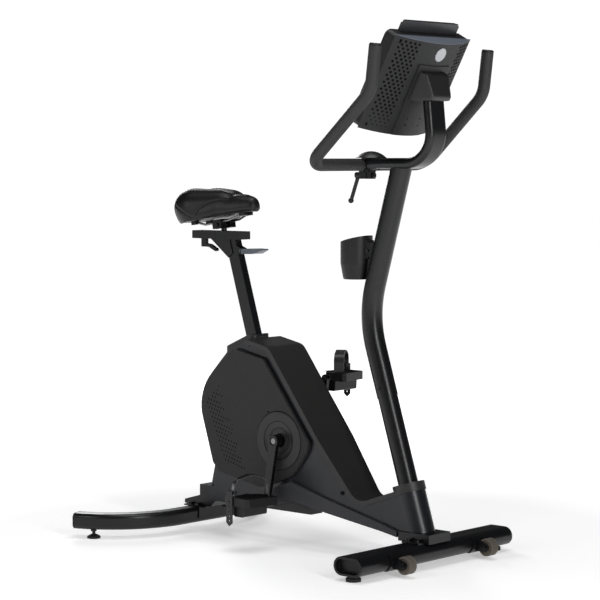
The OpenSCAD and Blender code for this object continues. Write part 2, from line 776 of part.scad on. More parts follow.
// Power inlet: a jack with a flange, along X
module inlet_shape() {
    translate([x_front - 778, 38, 178]) rotate([0, 90, 0])
        rotate_extrude() polygon([[0, 0], [10, 0], [10, 4], [7, 4], [7, 26], [0, 26]]);
}

module shroud_half_shell(s) {
    difference() {
        union() {
            difference() {
                intersection() {
                    shroud_solid(0);
                    translate([x_front - 1000, s > 0 ? 0 : -120, -10]) cube([1200, 120, 800]);
                }
                shroud_solid(skin);
            }
            for (b = shroud_boss) cyl_y(b[0], b[1], s > 0 ? 0 : 1 - shroud_half, s > 0 ? shroud_half - 1 : 0, 6);
        }
        frame_cuts();
        cyl_y(x_crank, crank_z, -100, 100, crank_hole_r);
        for (b = shroud_boss) cyl_y(b[0], b[1], -shroud_half - 1, 20, screw_r);
        inlet_shape();
    }
}
module shroud_right() color("#202226") shroud_half_shell(-1);
module shroud_left() color("#24262a") shroud_half_shell(1);

module side_panel(s) {
    mirror([0, s < 0 ? 1 : 0, 0]) difference() {
        union() {
            side(panel_outline, shroud_half - 8, panel_out - 2.5);
            side(inset(panel_outline, 2), panel_out - 2.5, panel_out);
        }
        side(inset(panel_outline, skin), 0, panel_out - skin);
        linear_extrude(700) polygon(shroud_plan);
        cyl_y(x_crank, crank_z, 0, 100, cover_r - cover_step);
    }
}
module side_panel_right() color("#303236") side_panel(-1);
module side_panel_left() color("#303236") side_panel(1);

module spine_cover() color("#3d4046") difference() {
    union() {
        intersection() {
            difference() {
                side(spine_outline, -100, 100);
                side(inset(spine_outline, 14), -100, 100);
            }
            side(flat(spine_band), -100, 100);
            linear_extrude(700) polygon(spine_plan);
            behind_mast();
        }
        rod(on_lower(collar_top_z - 8), on_lower(collar_top_z + 16), collar_r + 3);
    }
    intersection() {
        side(shroud_profile, -100, 100);
        linear_extrude(700) polygon(shroud_plan);
        behind_mast();
    }
    rod(on_lower(collar_top_z - 40), on_lower(collar_top_z), collar_r);
    rod(on_lower(collar_top_z - 60), on_lower(collar_top_z + 60), lower_r + 0.5);
}

module seat_post_collar() color("#2b2d31") difference() {
    intersection() {
        side(rounded([
            pt(-745, 552, 2), pt(-738, 540, 2), pt(-623, 560), pt(-623, 612, 6), pt(-645, 612, 10), pt(-745, 568, 4)
        ]), -60, 60);
        translate([x_front - 684, 0, 0]) linear_extrude(700) rrect(122, 76, 20);
    }
    shroud_solid(0);
    beam(receiver_low, receiver_top) square([receiver_d, receiver_w], center = true);
    beam(receiver_low, receiver_top + post_dir * 80) square([post_d + 2 * gap, post_w + 2 * gap], center = true);
}

module crank_covers() color("#26282c") both_sides() translate([x_crank, 0, crank_z]) rotate([-90, 0, 0])
    rotate_extrude($fn = 96) polygon([
        [crank_hole_r, panel_out - 5], [38, panel_out - 5], [55, panel_out - 2], [58, panel_out + 0.5],
        [cover_r - cover_step - skin, panel_out + 0.5], [cover_r - cover_step - skin, shroud_half],
        [cover_r - cover_step, shroud_half], [cover_r - cover_step, panel_out], [cover_r, panel_out],
        [cover_r, panel_out + 1.5], [cover_r - 2, panel_out + 3], [57, panel_out + 3], [54, panel_out + 0.5],
        [38, panel_out - 2.5], [crank_hole_r, panel_out - 2.5]
    ]);

module console_screw_places() {
    at_console() for (y = [-1, 1], z = [16, console_h - 16])
        translate([back_x(console_w / 2 - 18) - 4, y * (console_w / 2 - 18), z]) rotate([0, 90, 0]) children();
}

module cover_screws() color("#48494c") {
    for (b = shroud_boss) translate([b[0], -shroud_half, b[1]]) rotate([90, 0, 0]) bolt(screw_r, 40, 2.2);
    console_screw_places() {
        cylinder(h = 2, r = 3.5);
        translate([0, 0, -9]) cylinder(h = 9, r = 1.5);
    }
}

module power_inlet() color("#0c0c0d") difference() {
    inlet_shape();
    cyl_x(x_front - 790, x_front - 758, 38, 178, 3.5);
}

// ---------- drive ----------

belt_w = 12;
belt_y = -51;
crank_in = crank_out - 12;
pedal_in = crank_out + 9;
pedal_out = pedal_in + pedal_w;

// Outline of a loop round both pulleys, standing off their rims
module belt_outline(d) {
    v = [x_flywheel - x_crank, z_flywheel - crank_z];
    a = atan2(v[1], v[0]);
    big = pulley_r + d;
    small = small_pulley_r + d;
    b = acos((big - small) / norm(v));
    translate([x_crank, crank_z]) {
        circle(big, $fn = 96);
        translate(v) circle(small);
        polygon([
            (big - 0.02) * [cos(a + b), sin(a + b)], v + (small - 0.02) * [cos(a + b), sin(a + b)],
            v + (small - 0.02) * [cos(a - b), sin(a - b)], (big - 0.02) * [cos(a - b), sin(a - b)]
        ]);
    }
}

module drive_belt() color("#111112") translate([0, belt_y + belt_w, 0]) rotate([90, 0, 0]) difference() {
    linear_extrude(belt_w) belt_outline(gap + belt_t);
    translate([0, 0, -1]) linear_extrude(belt_w + 2) belt_outline(gap);
}

module frame_bearings() color("#9a9da1") for (s = [-1, 1]) {
    for (p = [[x_crank, crank_z, shell_half - bearing_t / 2], [x_flywheel, z_flywheel, plate_in + bearing_t / 2]])
        difference() {
            cyl_y(p[0], p[1], s * p[2] - bearing_t / 2, s * p[2] + bearing_t / 2, bearing_r);
            cyl_y(p[0], p[1], s * p[2] - bearing_t, s * p[2] + bearing_t, axle_r + run);
        }
}

module crank_axle() color("#8b8d90") {
    cyl_y(x_crank, crank_z, 2 - crank_out, crank_out - 2, axle_r);
    cyl_y(x_crank, crank_z, belt_y + belt_w + 2, belt_y + belt_w + 4, 22);
}

module crank_pulley() color("#2a2b2d") difference() {
    translate([x_crank, belt_y + belt_w + 2, crank_z]) rotate([90, 0, 0]) rotate_extrude($fn = 96) polygon([
        [axle_r, 0], [28, 0], [28, 4], [pulley_r - 8, 4], [pulley_r - 8, 0], [pulley_r, 0],
        [pulley_r, belt_w + 3], [pulley_r - 8, belt_w + 3], [pulley_r - 8, 9], [28, 9], [28, 16], [axle_r, 16]
    ]);
    for (a = [0:60:300]) rotate_about(x_crank, crank_z, a)
        cyl_y(x_crank + pulley_r * 0.6, crank_z, -100, 0, 13);
}

// Turns about an axis along Y through a point given in X and Z
module rotate_about(x, z, a) {
    translate([x, 0, z]) rotate([0, a, 0]) translate([-x, 0, -z]) children();
}

module crank_arms() color("#232427") for (s = [-1, 1]) {
    a = crank_angle + (s > 0 ? 180 : 0);
    y0 = s > 0 ? crank_in : -crank_out;
    y1 = s > 0 ? crank_out : -crank_in;
    translate([x_crank, 0, crank_z]) rotate([0, -a, 0]) difference() {
        union() {
            side([[0, -15], [crank_len, -11], [crank_len, 11], [0, 15]], y0, y1);
            cyl_y(0, 0, y0, y1, 15);
            cyl_y(crank_len, 0, y0, y1, 11);
            cyl_y(0, 0, s > 0 ? panel_out + 2 : -crank_out, s > 0 ? crank_out : -panel_out - 2, crank_boss_r);
        }
        cyl_y(0, 0, 2 - crank_out, crank_out - 2, axle_r);
        cyl_y(0, 0, s > 0 ? crank_out - 3 : -crank_out - 1, s > 0 ? crank_out + 1 : 3 - crank_out, 11);
        cyl_y(crank_len, 0, y0 - 1, y1 + 1, spindle_r);
    }
}

function pedal_at(s) = [x_crank - s * crank_len * cos(crank_angle), 0, crank_z - s * crank_len * sin(crank_angle)];

module pedal_spindles() color("#8b8d90") for (s = [-1, 1]) translate(pedal_at(s)) mirror([0, s < 0 ? 1 : 0, 0]) {
    cyl_y(0, 0, crank_in, pedal_out - 6, spindle_r);
    cyl_y(0, 0, crank_out, pedal_in - gap, spindle_r + 3);
}

// The strap runs from the pedal's inner front corner to its outer rear corner
pedal_top = 15;
strap_a = [28, pedal_in + 12];
strap_b = [-28, pedal_out - 12];
strap_len = norm(strap_b - strap_a);

module strap_frame() {
    v = strap_b - strap_a;
    translate([strap_a[0], strap_a[1], 0]) rotate([0, 0, atan2(v[1], v[0])]) children();
}

module strap_band(d) {
    top = pedal_top + strap_h;
    outline = rounded([
        [0, -20, 0], [strap_len, -20, 0], [strap_len, top - 18, 30], [strap_len * 0.5, top, 40], [0, top - 14, 30]
    ]);
    difference() {
        side(inset(outline, -d), -strap_w / 2 - d, strap_w / 2 + d);
        side(inset(outline, 3 + d), -strap_w, strap_w);
        translate([-50, -50, -104]) cube([300, 100, 100 - d]);
    }
}

module pedal_body() {
    difference() {
        union() {
            translate([0, 0, -9]) linear_extrude(pedal_top + 9) polygon(rounded([
                [-14, pedal_in, 6], [62, pedal_in, 10], [40, pedal_out, 12], [-58, pedal_out, 10]
            ]));
            side(rounded([[-22, -8, 0], [-20, -40, 6], [18, -40, 6], [20, -8, 0]]), pedal_in + 6, pedal_out - 8);
        }
        cyl_y(0, 0, pedal_in - 1, pedal_out - 5.5, spindle_r + run);
        strap_frame() strap_band(0.2);
        side([[-15, -11], [-14, -46], [12, -46], [14, -11]], pedal_in + 12, pedal_out - 14);
    }
}

module pedal_right() color("#1d1d1f") translate(pedal_at(-1)) mirror([0, 1, 0]) pedal_body();
module pedal_left() color("#1d1d1f") translate(pedal_at(1)) pedal_body();

module strap_body() difference() {
    x = strap_b[0];
    union() {
        strap_frame() strap_band(0);
        translate([x - 12, pedal_out - 14, 24]) cube([24, 18, 10]);
        side([[x, -68], [x + 12, -58], [x + 12, 26], [x - 12, 26], [x - 12, -58]], pedal_out + 1.5, pedal_out + 4);
    }
    for (z = [-52:14:4]) cyl_y(x, z, pedal_out, pedal_out + 6, 2.5);
}

module strap_right() color("#0f0f10") translate(pedal_at(-1)) mirror([0, 1, 0]) strap_body();
module strap_left() color("#0f0f10") translate(pedal_at(1)) strap_body();

module flywheel() color("#5d6064") translate([x_flywheel, flywheel_y, z_flywheel]) rotate([-90, 0, 0])
    rotate_extrude($fn = 96) polygon([
        [axle_r, -3], [24, -3], [24, flywheel_t / 2 - 4], [flywheel_r - 30, flywheel_t / 2 - 4], [flywheel_r - 30, 0],
        [flywheel_r, 0], [flywheel_r, flywheel_t], [flywheel_r - 30, flywheel_t],
        [flywheel_r - 30, flywheel_t / 2 + 4], [24, flywheel_t / 2 + 4], [24, flywheel_t + 2], [axle_r, flywheel_t + 2]
    ]);

module flywheel_shaft() color("#8b8d90") {
    pulley_y = belt_y - 2.5;
    cyl_y(x_flywheel, z_flywheel, pulley_y - 2, flywheel_y + flywheel_t + 4, axle_r);
    cyl_y(x_flywheel, z_flywheel, belt_y - 1, belt_y + belt_w + 1, small_pulley_r);
    for (y = [belt_y - 2.5, belt_y + belt_w + 1]) cyl_y(x_flywheel, z_flywheel, y, y + 1.5, small_pulley_r + 4);
    cyl_y(x_flywheel, z_flywheel, plate_in + bearing_t + gap, flywheel_y - 3, 12);
}

function from_flywheel(r, a) = [x_flywheel + r * cos(a), z_flywheel + r * sin(a)];

module brake_magnets() color("#77797d") difference() {
    c = from_flywheel(0, 0);
    out = flywheel_r + 8;
    y0 = flywheel_y - brake_air - magnet_t - cheek_t;
    union() {
        for (k = [[y0, y0 + cheek_t, out, flywheel_r - 23], [brake_out - cheek_t, brake_out, out, flywheel_r - 23],
                  [y0 + cheek_t, y0 + cheek_t + magnet_t, flywheel_r - 3, flywheel_r - 21],
                  [brake_out - cheek_t - magnet_t, brake_out - cheek_t, flywheel_r - 3, flywheel_r - 21],
                  [y0, brake_out, out, out - 3]])
            intersection() {
                difference() {
                    cyl_y(c[0], c[1], k[0], k[1], k[2]);
                    cyl_y(c[0], c[1], k[0] - 1, k[1] + 1, k[3]);
                }
                side([c, from_flywheel(250, 114), from_flywheel(250, 135), from_flywheel(250, 153)], y0 - 1, brake_out + 1);
            }
        for (y = [y0, brake_out - cheek_t]) {
            cyl_y(brake_pivot[0], brake_pivot[1], y, y + cheek_t, 9);
            side([
                brake_pivot + [-9, 0], from_flywheel(out - 2, 127), from_flywheel(out - 8, 115),
                brake_pivot + [9, 0]
            ], y, y + cheek_t);
        }
    }
    cyl_y(brake_pivot[0], brake_pivot[1], 0, 100, bolt_r + run);
}

module servo_motor() color("#1d2b1f") {
    x = x_flywheel - 62;
    z = z_flywheel + 50;
    translate([x, -plate_out - 26, z]) cube([38, 26, 38]);
    cyl_y(x + 19, z + 24, -plate_out - 32, -plate_out - 26, 6);
}

// ---------- handlebar and its clamp ----------

bar_wall = 2;
grip_start = 34;

module bar_path(r, over = 0) {
    end = [sin(grip_lean), 0, cos(grip_lean)] * over;
    bent_rod([
        bar_tip(-1) + end, bar_bend(-1), bar_corner(-1), bar_corner(1), bar_bend(1), bar_tip(1) + end
    ], [bar_bend_r, bar_corner_r, bar_corner_r, bar_bend_r], r);
}

module handlebar() color("#1b1c1e") difference() {
    bar_path(bar_r);
    bar_path(bar_r - bar_wall, 1);
}

module foam_grips() color("#171717") for (s = [-1, 1]) difference() {
    bent_rod([[x_bar, s * grip_start, bar_z], bar_corner(s), bar_bend(s), bar_tip(s)], [bar_corner_r, bar_bend_r], foam_r);
    bent_rod([
        [x_bar, s * grip_start - s, bar_z], bar_corner(s), bar_bend(s), bar_tip(s) + [sin(grip_lean), 0, cos(grip_lean)]
    ], [bar_corner_r, bar_bend_r], bar_r);
}

module bar_end_caps() color("#121213") for (s = [-1, 1]) translate(bar_tip(s)) rotate([0, grip_lean, 0]) {
    cylinder(h = 5, r = foam_r);
    translate([0, 0, 5]) cylinder(h = 3, r1 = foam_r, r2 = foam_r - 3);
    translate([0, 0, -14]) cylinder(h = 14.5, r = bar_r - bar_wall);
}

clamp_screw_z = bar_z - 30;
clamp_lug_x0 = x_bar - 28;
clamp_lug_x1 = x_bar + 16;

module bar_clamp() color("#1b1c1e") {
    difference() {
        union() {
            cyl_y(x_bar, bar_z, -18, 18, clamp_ring_r);
            translate([clamp_lug_x0, -11, bar_z - 40]) cube([clamp_lug_x1 - clamp_lug_x0, 22, 26]);
        }
        cyl_y(x_bar, bar_z, -20, 20, bar_r + run);
        translate([x_bar - 1.5, -20, bar_z - 50]) cube([3, 40, 50]);
        cyl_x(clamp_lug_x0 - 1, clamp_lug_x1 + 1, 0, clamp_screw_z, bolt_r + run);
    }
    difference() {
        translate([clamp_lug_x1, 0, clamp_screw_z]) rotate([0, 90, 0]) cylinder(h = 6, r = 8, $fn = 6);
        cyl_x(clamp_lug_x1 - 1, clamp_lug_x1 + 10, 0, clamp_screw_z, bolt_r + run);
    }
}

module clamp_lever() color("#0e0e0f") {
    x0 = clamp_lug_x0 - gap;
    cyl_x(x0 - 18, x0, 0, clamp_screw_z, 9);
    cyl_x(x0 - 1, clamp_lug_x1 + 8, 0, clamp_screw_z, bolt_r);
    rod([x0 - 10, 0, clamp_screw_z], [x0 - 36, 0, clamp_screw_z - 68], 5.5);
    translate([x0 - 38, 0, clamp_screw_z - 72]) sphere(8);
}

module clamp_cover() color("#141416") {
    cap_r = 44;
    cap_h = 19;
    ball = (cap_r * cap_r + cap_h * cap_h) / (2 * cap_h);
    translate([x_bar + 8, 0, neck_z + neck_t / 2]) difference() {
        intersection() {
            translate([0, 0, cap_h - ball]) sphere(ball, $fn = 96);
            cylinder(h = cap_h + 1, r = cap_r);
        }
        intersection() {
            translate([0, 0, cap_h - ball]) sphere(ball - 2.5, $fn = 96);
            translate([0, 0, -1]) cylinder(h = cap_h, r = cap_r - 2.5);
        }
    }
}

// ---------- console ----------

console_case = 2.5;
console_back_r = (console_w * console_w / 4 + console_bulge * console_bulge) / (2 * console_bulge);
face_x = -console_bulge - console_front_t;
rest_x = -console_bulge - 30;
rest_t = 6;
rest_len = 104;
lens_z = 112;
lens_h = 100;
lens_w = 210;
board_x = -console_bulge - 9;
button_z = 62;
button_travel = 1;
function back_x(y) = sqrt(console_back_r * console_back_r - y * y) - console_back_r;

// Console frame: X out of the back, Z up along the console
module at_console() {
    translate([x_front - console_back, 0, console_z]) rotate([0, console_tilt, 0]) children();
}

module back_cylinder(d) {
    translate([-console_back_r, 0, -50]) cylinder(h = console_h + 100, r = console_back_r - d, $fn = 240);
}

module back_block(d, z0, z1, half) {
    intersection() {
        back_cylinder(d);
        translate([-console_bulge - (d > 0 ? 1 : 0), -half, z0]) cube([console_bulge + 50, 2 * half, z1 - z0]);
    }
}

module console_back() color("#1c1d1f") at_console() difference() {
    union() {
        back_block(0, 0, console_h, console_w / 2);
        back_block(-3, 93, 215, 66);
        back_block(-1.5, 0, 95, 62);
        translate([-3, 0, console_h - 33]) rotate([0, 90, 0]) cylinder(h = 4, r = 20);
    }
    back_block(console_case, console_case, console_h - console_case, console_w / 2 - console_case);
    for (y = [-1, 1], z = [16, console_h - 16]) {
        x = back_x(console_w / 2 - 18) - 4;
        translate([x, y * (console_w / 2 - 18), z]) rotate([0, 90, 0]) {
            cylinder(h = 30, r = 4);
            translate([0, 0, -20]) cylinder(h = 21, r = 1.5);
        }
    }
    for (y = [-27, 27], z = [32, 53])
        translate([-10, y, z]) rotate([0, 90, 0]) cylinder(h = 20, r = 2.5);
}

module front_outline(d) {
    rrect(console_h - 2 * d, console_w - 2 * d, 18 - d);
}

module rest_slot(d) {
    translate([rest_x - d, -rest_w / 2 - d, console_h - 30]) cube([rest_t + 2 * d, rest_w + 2 * d, 60]);
}

module button_spots() {
    for (k = [[-60, 11], [0, 15], [60, 11]]) translate([face_x, k[0], button_z]) rotate([0, 90, 0]) children();
}

board_posts = [[-101, 34], [101, 34], [-101, 138], [101, 138]];

module console_front() color("#222326") at_console() difference() {
    union() {
        difference() {
            translate([face_x, 0, console_h / 2]) rotate([0, 90, 0]) linear_extrude(console_front_t) front_outline(0);
            translate([face_x + console_case, 0, console_h / 2]) rotate([0, 90, 0])
                linear_extrude(console_front_t) front_outline(console_case);
        }
        for (p = board_posts) cyl_x(face_x + 1, board_x, p[0], p[1], 4);
        for (y = [-1, 1], z = [16, console_h - 16])
            cyl_x(face_x + 1, -console_bulge, y * (console_w / 2 - 18), z, 5);
        for (y = [-1, 1])
            translate([face_x + 1, y * (rest_w / 2 + 3) - 3, 160])
                cube([rest_x + rest_t + 2 - face_x, 6, console_h - 161]);
    }
    rest_slot(gap);
    translate([rest_x - gap, -rest_w / 2 - gap, 150]) cube([rest_t + 2 * gap, rest_w + 2 * gap, console_h]);
    translate([face_x - 1, -lens_w / 2, lens_z]) cube([2.5, lens_w, lens_h]);
    translate([face_x - 1, -lens_w / 2 + 8, lens_z + 8]) cube([10, lens_w - 16, lens_h - 16]);
    for (k = [[-60, 9], [0, 13], [60, 9]]) cyl_x(face_x - 1, face_x + 5, k[0], button_z, k[1] + gap);
    for (y = [-1, 1], z = [16, console_h - 16])
        cyl_x(face_x + 12, 0, y * (console_w / 2 - 18), z, 1.5);
}

module display_lens() color("#0a0d10") at_console()
    translate([face_x - 0.5, -lens_w / 2, lens_z]) cube([2, lens_w, lens_h]);

module console_board() color("#1f5a33") at_console() {
    translate([board_x, -104, 24]) cube([1.6, 208, 134]);
    for (k = [-60, 0, 60]) translate([board_x - 3.5, k - 4, button_z - 4]) cube([3.5, 8, 8]);
}

module button(y, r) {
    at_console() {
        cyl_x(face_x - 1.5, face_x + console_case, y, button_z, r);
        cyl_x(face_x + console_case + gap, face_x + console_case + 2, y, button_z, r + 2);
        cyl_x(face_x + console_case - 1, board_x - 3.5 - button_travel - gap, y, button_z, 3);
    }
}
module up_button() color("#3a3c40") button(60, 9);
module start_button() color("#8c2f28") button(0, 13);
module down_button() color("#3a3c40") button(-60, 9);

module tablet_rest() color("#2f3235") at_console() {
    top = console_h + rest_out;
    translate([rest_x, -rest_w / 2, top - rest_len]) cube([rest_t, rest_w, rest_len - 6]);
    translate([rest_x, -rest_w / 2 + 6, top - 7]) cube([rest_t, rest_w - 12, 7]);
    translate([rest_x - 4, -rest_w / 2 + 14, top - 5]) cube([5, rest_w - 28, 5]);
}

boot_half = neck_w / 2 + 4;

module boot_shape(d) {
    intersection() {
        side(inset([[-20, 96], [62, 140], [62, 152], [18, 198], [-20, 198]], d), -80, 80);
        linear_extrude(300) polygon(inset([[-20, -57], [62, -boot_half], [62, boot_half], [-20, 57]], d));
    }
}

module console_boot() color("#17181a") at_console() difference() {
    boot_shape(0);
    translate([-6, 0, 0]) boot_shape(2.5);
    back_cylinder(-3);
    from_console() neck(-0.4);
}

// Undoes the console frame, for a shape given in the bike's own frame
module from_console() {
    rotate([0, -console_tilt, 0]) translate([-(x_front - console_back), 0, -console_z]) children();
}

// ---------- seat ----------

post_wall = 2;
rail_bottom = rail_z - rail_h / 2;
post_top = on_post(rail_bottom);
window = on_post(858);
rail_x0 = x_rail - rail_len / 2;
rail_x1 = x_rail + rail_len / 2;
slide_back = 12;
slide_ahead = 50;
slider_len = 125;
slider_x0 = rail_x0 + rail_wall + slide_back + 0.8;
slot_half = 10.5;
web_t = 3.5;
web_mid = post_w / 2 - 0.5 + web_t / 2;
lever_axis = [window[0] + post_d / 2 + 10, 0, 858];
latch_off = 13;

module seat_post() color("#1c1d1f") difference() {
    union() {
        difference() {
            beam(on_post(post_low_z), post_top + post_dir * 8) square([post_d, post_w], center = true);
            beam(on_post(post_low_z) - post_dir, on_post(rail_bottom - 12)) square([post_d - 2 * post_wall, post_w - 2 * post_wall], center = true);
            translate([x_front - 2000, -100, rail_bottom]) cube([4000, 200, 200]);
        }
        translate([rail_x0, -rail_w / 2, rail_bottom]) cube([rail_len, rail_w, rail_h]);
        for (y = [-1, 1]) side([
            [post_top[0] - 78, rail_bottom + 0.5], [on_post(838)[0] - post_d / 2 - 0.5, 836],
            [on_post(850)[0], 850], [post_top[0], rail_bottom + 0.5]
        ], y * web_mid - web_t / 2, y * web_mid + web_t / 2);
        for (y = [-1, 1]) side([
            [window[0] + post_d / 2 - 1, 846], [lever_axis[0] + 6, 852], [lever_axis[0] + 6, 864],
            [window[0] + post_d / 2 - 5, 872]
        ], y * 11 - 2, y * 11 + 2);
    }
    beam(on_post(post_low_z) - post_dir, on_post(rail_bottom - 12)) square([post_d - 2 * post_wall, post_w - 2 * post_wall], center = true);
    translate([rail_x0 + rail_wall, -rail_w / 2 + rail_wall, rail_bottom + rail_wall])
        cube([rail_len - 2 * rail_wall, rail_w - 2 * rail_wall, rail_h - 2 * rail_wall]);
    translate([x_stem - slide_back - 9, -slot_half, rail_z]) cube([slide_back + slide_ahead + 18, 2 * slot_half, rail_h]);
    translate([x_slider_screw - slide_back - 5, -5, rail_bottom - 1]) cube([slide_back + slide_ahead + 10, 10, rail_wall + 2]);
    cyl_y(lever_axis[0], lever_axis[2], -20, 20, 3 + run);
    translate([window[0] + post_d / 2 - 9, -8, 846]) cube([20, 16, 24]);
}

module height_lever() color("#4a4f57") {
    x = lever_axis[0];
    z = lever_axis[2];
    cyl_y(x, z, -13.5, 13.5, 3);
    cyl_y(x, z, -8.6, 8.6, 6);
    side([[x - 14, z - 1], [x, z - 3], [x, z + 3], [x - 14, z + 3]], -6, 6);
    cyl_y(x - 15, z + 2, -6, 6, 3);
    intersection() {
        side([[x, z - 5], [x + 12, z - 10], [x + 60, z - 8], [x + 94, z + 4], [x + 92, z + 7], [x + 50, z + 7], [x, z + 5]], -30, 30);
        translate([x, 0, z - 50]) linear_extrude(100) polygon([
            [0, -8.6], [10, -8.6], [14, -22], [55, -25], [94, -13], [94, 13], [55, 25], [14, 22], [10, 8.6], [0, 8.6]
        ]);
    }
}

latch_top = [lever_axis[0] - 15, 0, 858 + 2 - 3 - gap];

module latch_rod() color("#8b8d90") {
    rod(latch_top - post_dir * 440, latch_top - post_dir * 1.2, 3.5);
}

module seat_slider() color("#2a2b2d") difference() {
    union() {
        translate([slider_x0, -rail_w / 2 + rail_wall + gap, rail_bottom + rail_wall + gap])
            cube([slider_len, rail_w - 2 * rail_wall - 2 * gap, rail_h - 2 * rail_wall - 2 * gap]);
        translate([x_stem, 0, rail_z]) cylinder(h = z_tilt - rail_z, r = 8.5);
        cyl_y(x_stem, z_tilt, -9, 9, 10);
    }
    cyl_y(x_stem, z_tilt, -20, 20, bolt_r + run);
    translate([x_slider_screw, 0, rail_bottom]) cylinder(h = 16, r = bolt_r + run);
}

module slider_lever() color("#131314") translate([x_slider_screw, 0, rail_bottom - gap]) {
    translate([0, 0, -25]) cylinder(h = 25, r = 11);
    translate([0, 0, -1]) cylinder(h = 14, r = bolt_r);
    side([[0, -24], [24, -26], [50, -38], [53, -35], [52, -30], [26, -17], [0, -14]], -7, 7);
}

// Saddle frame: origin on the tilt axis' post, Z square to the saddle's underside
module at_saddle() {
    translate([x_stem, 0, z_tilt]) rotate([0, -saddle_tilt, 0]) translate([0, 0, -8]) children();
}

rail_rod_r = 3.5;
saddle_rail_path = [[-85, 30, 28], [-55, 22, 17], [45, 22, 17], [95, 12, 28]];

module saddle_rail(s, r) {
    p = [for (q = saddle_rail_path) [q[0], s * q[1], q[2]]];
    bent_rod(p, [14, 14], r);
}

module saddle_clamp() color("#2a2b2d") at_saddle() {
    difference() {
        translate([-18, -32, -2]) cube([36, 64, 26]);
        translate([-30, -9 - gap, -10]) cube([60, 18 + 2 * gap, 29.5]);
        cyl_y(0, 8, -40, 40, bolt_r);
        for (s = [-1, 1]) cyl_x(-20, 20, s * 22, 17, rail_rod_r);
    }
    cyl_y(0, 8, -32, 32, bolt_r);
    for (s = [-1, 1]) cyl_y(0, 8, s > 0 ? 32 : -36, s > 0 ? 36 : -32, 7);
}

module saddle_rails() color("#8b8d90") at_saddle() for (s = [-1, 1]) saddle_rail(s, rail_rod_r);

module saddle_base() color("#101011") at_saddle() difference() {
    half = saddle_w / 2;
    union() {
        translate([0, 0, 31]) linear_extrude(4) polygon(rounded([
            [-112, -half * 0.55, 30], [-60, -half * 0.78, 40], [20, -half * 0.48, 50], [138, -10, 9],
            [138, 10, 9], [20, half * 0.48, 50], [-60, half * 0.78, 40], [-112, half * 0.55, 30]
        ]));
        for (s = [-1, 1]) {
            translate([-98, s * 31.5 - 8, 22]) cube([20, 16, 10]);
            translate([84, s * 12 - 7, 22]) cube([22, 14, 10]);
        }
    }
    for (s = [-1, 1]) saddle_rail(s, rail_rod_r);
}

module pad_middle() {
    for (s = [-1, 1]) translate([20, s * 25, 70]) sphere(46, $fn = 32);
}

module saddle_pad() color("#0f0f10") at_saddle() intersection() {
    union() {
        hull() {
            for (s = [-1, 1]) translate([-68, s * (saddle_w / 2 - 62), 72]) sphere(62, $fn = 32);
            pad_middle();
        }
        hull() {
            pad_middle();
            translate([126, 0, 52]) sphere(26, $fn = 32);
        }
    }
    translate([-200, -200, 35]) cube([400, 400, 200]);
}

main_frame();
front_stabilizer();
rear_stabilizer();
stabilizer_caps();
front_feet();
frame_bolts();
shroud_right();
shroud_left();
side_panel_right();
side_panel_left();
spine_cover();
seat_post_collar();
crank_covers();
cover_screws();
power_inlet();
lower_mast();
upper_mast();
bottle_holder();
bar_clamp();
clamp_cover();
clamp_lever();
handlebar();
foam_grips();
bar_end_caps();
console_back();
console_front();
console_boot();
display_lens();
console_board();
start_button();
up_button();
down_button();
tablet_rest();
frame_bearings();
crank_axle();
crank_pulley();
drive_belt();
crank_arms();
pedal_spindles();
pedal_right();
pedal_left();
strap_right();
strap_left();
flywheel();
flywheel_shaft();
brake_magnets();
servo_motor();
transport_wheel_right();
transport_wheel_left();
level_foot_right();
level_foot_left();
seat_post();
height_lever();
latch_rod();
seat_slider();
slider_lever();
saddle_clamp();
saddle_rails();
saddle_base();
saddle_pad();
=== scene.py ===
# %% [markdown]
# This is an upright exercise bike. Its steel frame, mouldings, drive and seat come from the CAD model as
# solids. Blender adds what a solid can't carry: the camera and the light, the finish of every surface, the
# padded saddle, and small repeated detail such as vents, grooves and stitches.

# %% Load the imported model
import math
import bmesh
import bpy
import numpy as np
from mathutils import Matrix, Vector
from mathutils.bvhtree import BVHTree
from mathutils.kdtree import KDTree


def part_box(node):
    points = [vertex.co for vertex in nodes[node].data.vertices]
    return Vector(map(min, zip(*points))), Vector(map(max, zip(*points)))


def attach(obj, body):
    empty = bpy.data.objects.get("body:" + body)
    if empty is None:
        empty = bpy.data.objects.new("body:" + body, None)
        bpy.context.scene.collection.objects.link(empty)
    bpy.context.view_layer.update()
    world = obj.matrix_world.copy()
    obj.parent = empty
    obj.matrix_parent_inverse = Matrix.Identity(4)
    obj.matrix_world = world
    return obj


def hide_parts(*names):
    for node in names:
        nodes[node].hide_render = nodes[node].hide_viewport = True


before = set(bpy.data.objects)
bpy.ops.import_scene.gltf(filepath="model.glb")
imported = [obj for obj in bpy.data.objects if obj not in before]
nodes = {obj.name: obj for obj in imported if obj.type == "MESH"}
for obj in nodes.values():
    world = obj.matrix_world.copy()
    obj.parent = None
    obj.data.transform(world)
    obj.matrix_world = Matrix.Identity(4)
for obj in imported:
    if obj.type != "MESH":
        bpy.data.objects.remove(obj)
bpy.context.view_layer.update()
scene = bpy.context.scene

# %% [markdown]
# The camera stands ahead of the bike on its right, at about chest height, with a long lens, so upright
# tubes stay nearly upright. It's made first, because every other choice is judged through it.

# %% Camera
CAMERA_AT = (4.1705, -4.6274, 1.1376)
CAMERA_DIP = 3.836  # degrees below level
CAMERA_TURN = 41.989  # degrees round Z
LENS_MM = 128.29
camera_data = bpy.data.cameras.new("camera")
camera_data.lens = LENS_MM
camera_data.sensor_width = 36.0
camera_data.clip_end = 100.0
camera = bpy.data.objects.new("camera", camera_data)
camera.location = CAMERA_AT
camera.rotation_euler = (math.radians(90 - CAMERA_DIP), 0, math.radians(CAMERA_TURN))
scene.collection.objects.link(camera)
scene.camera = camera
print("camera", tuple(round(v, 3) for v in camera.location))

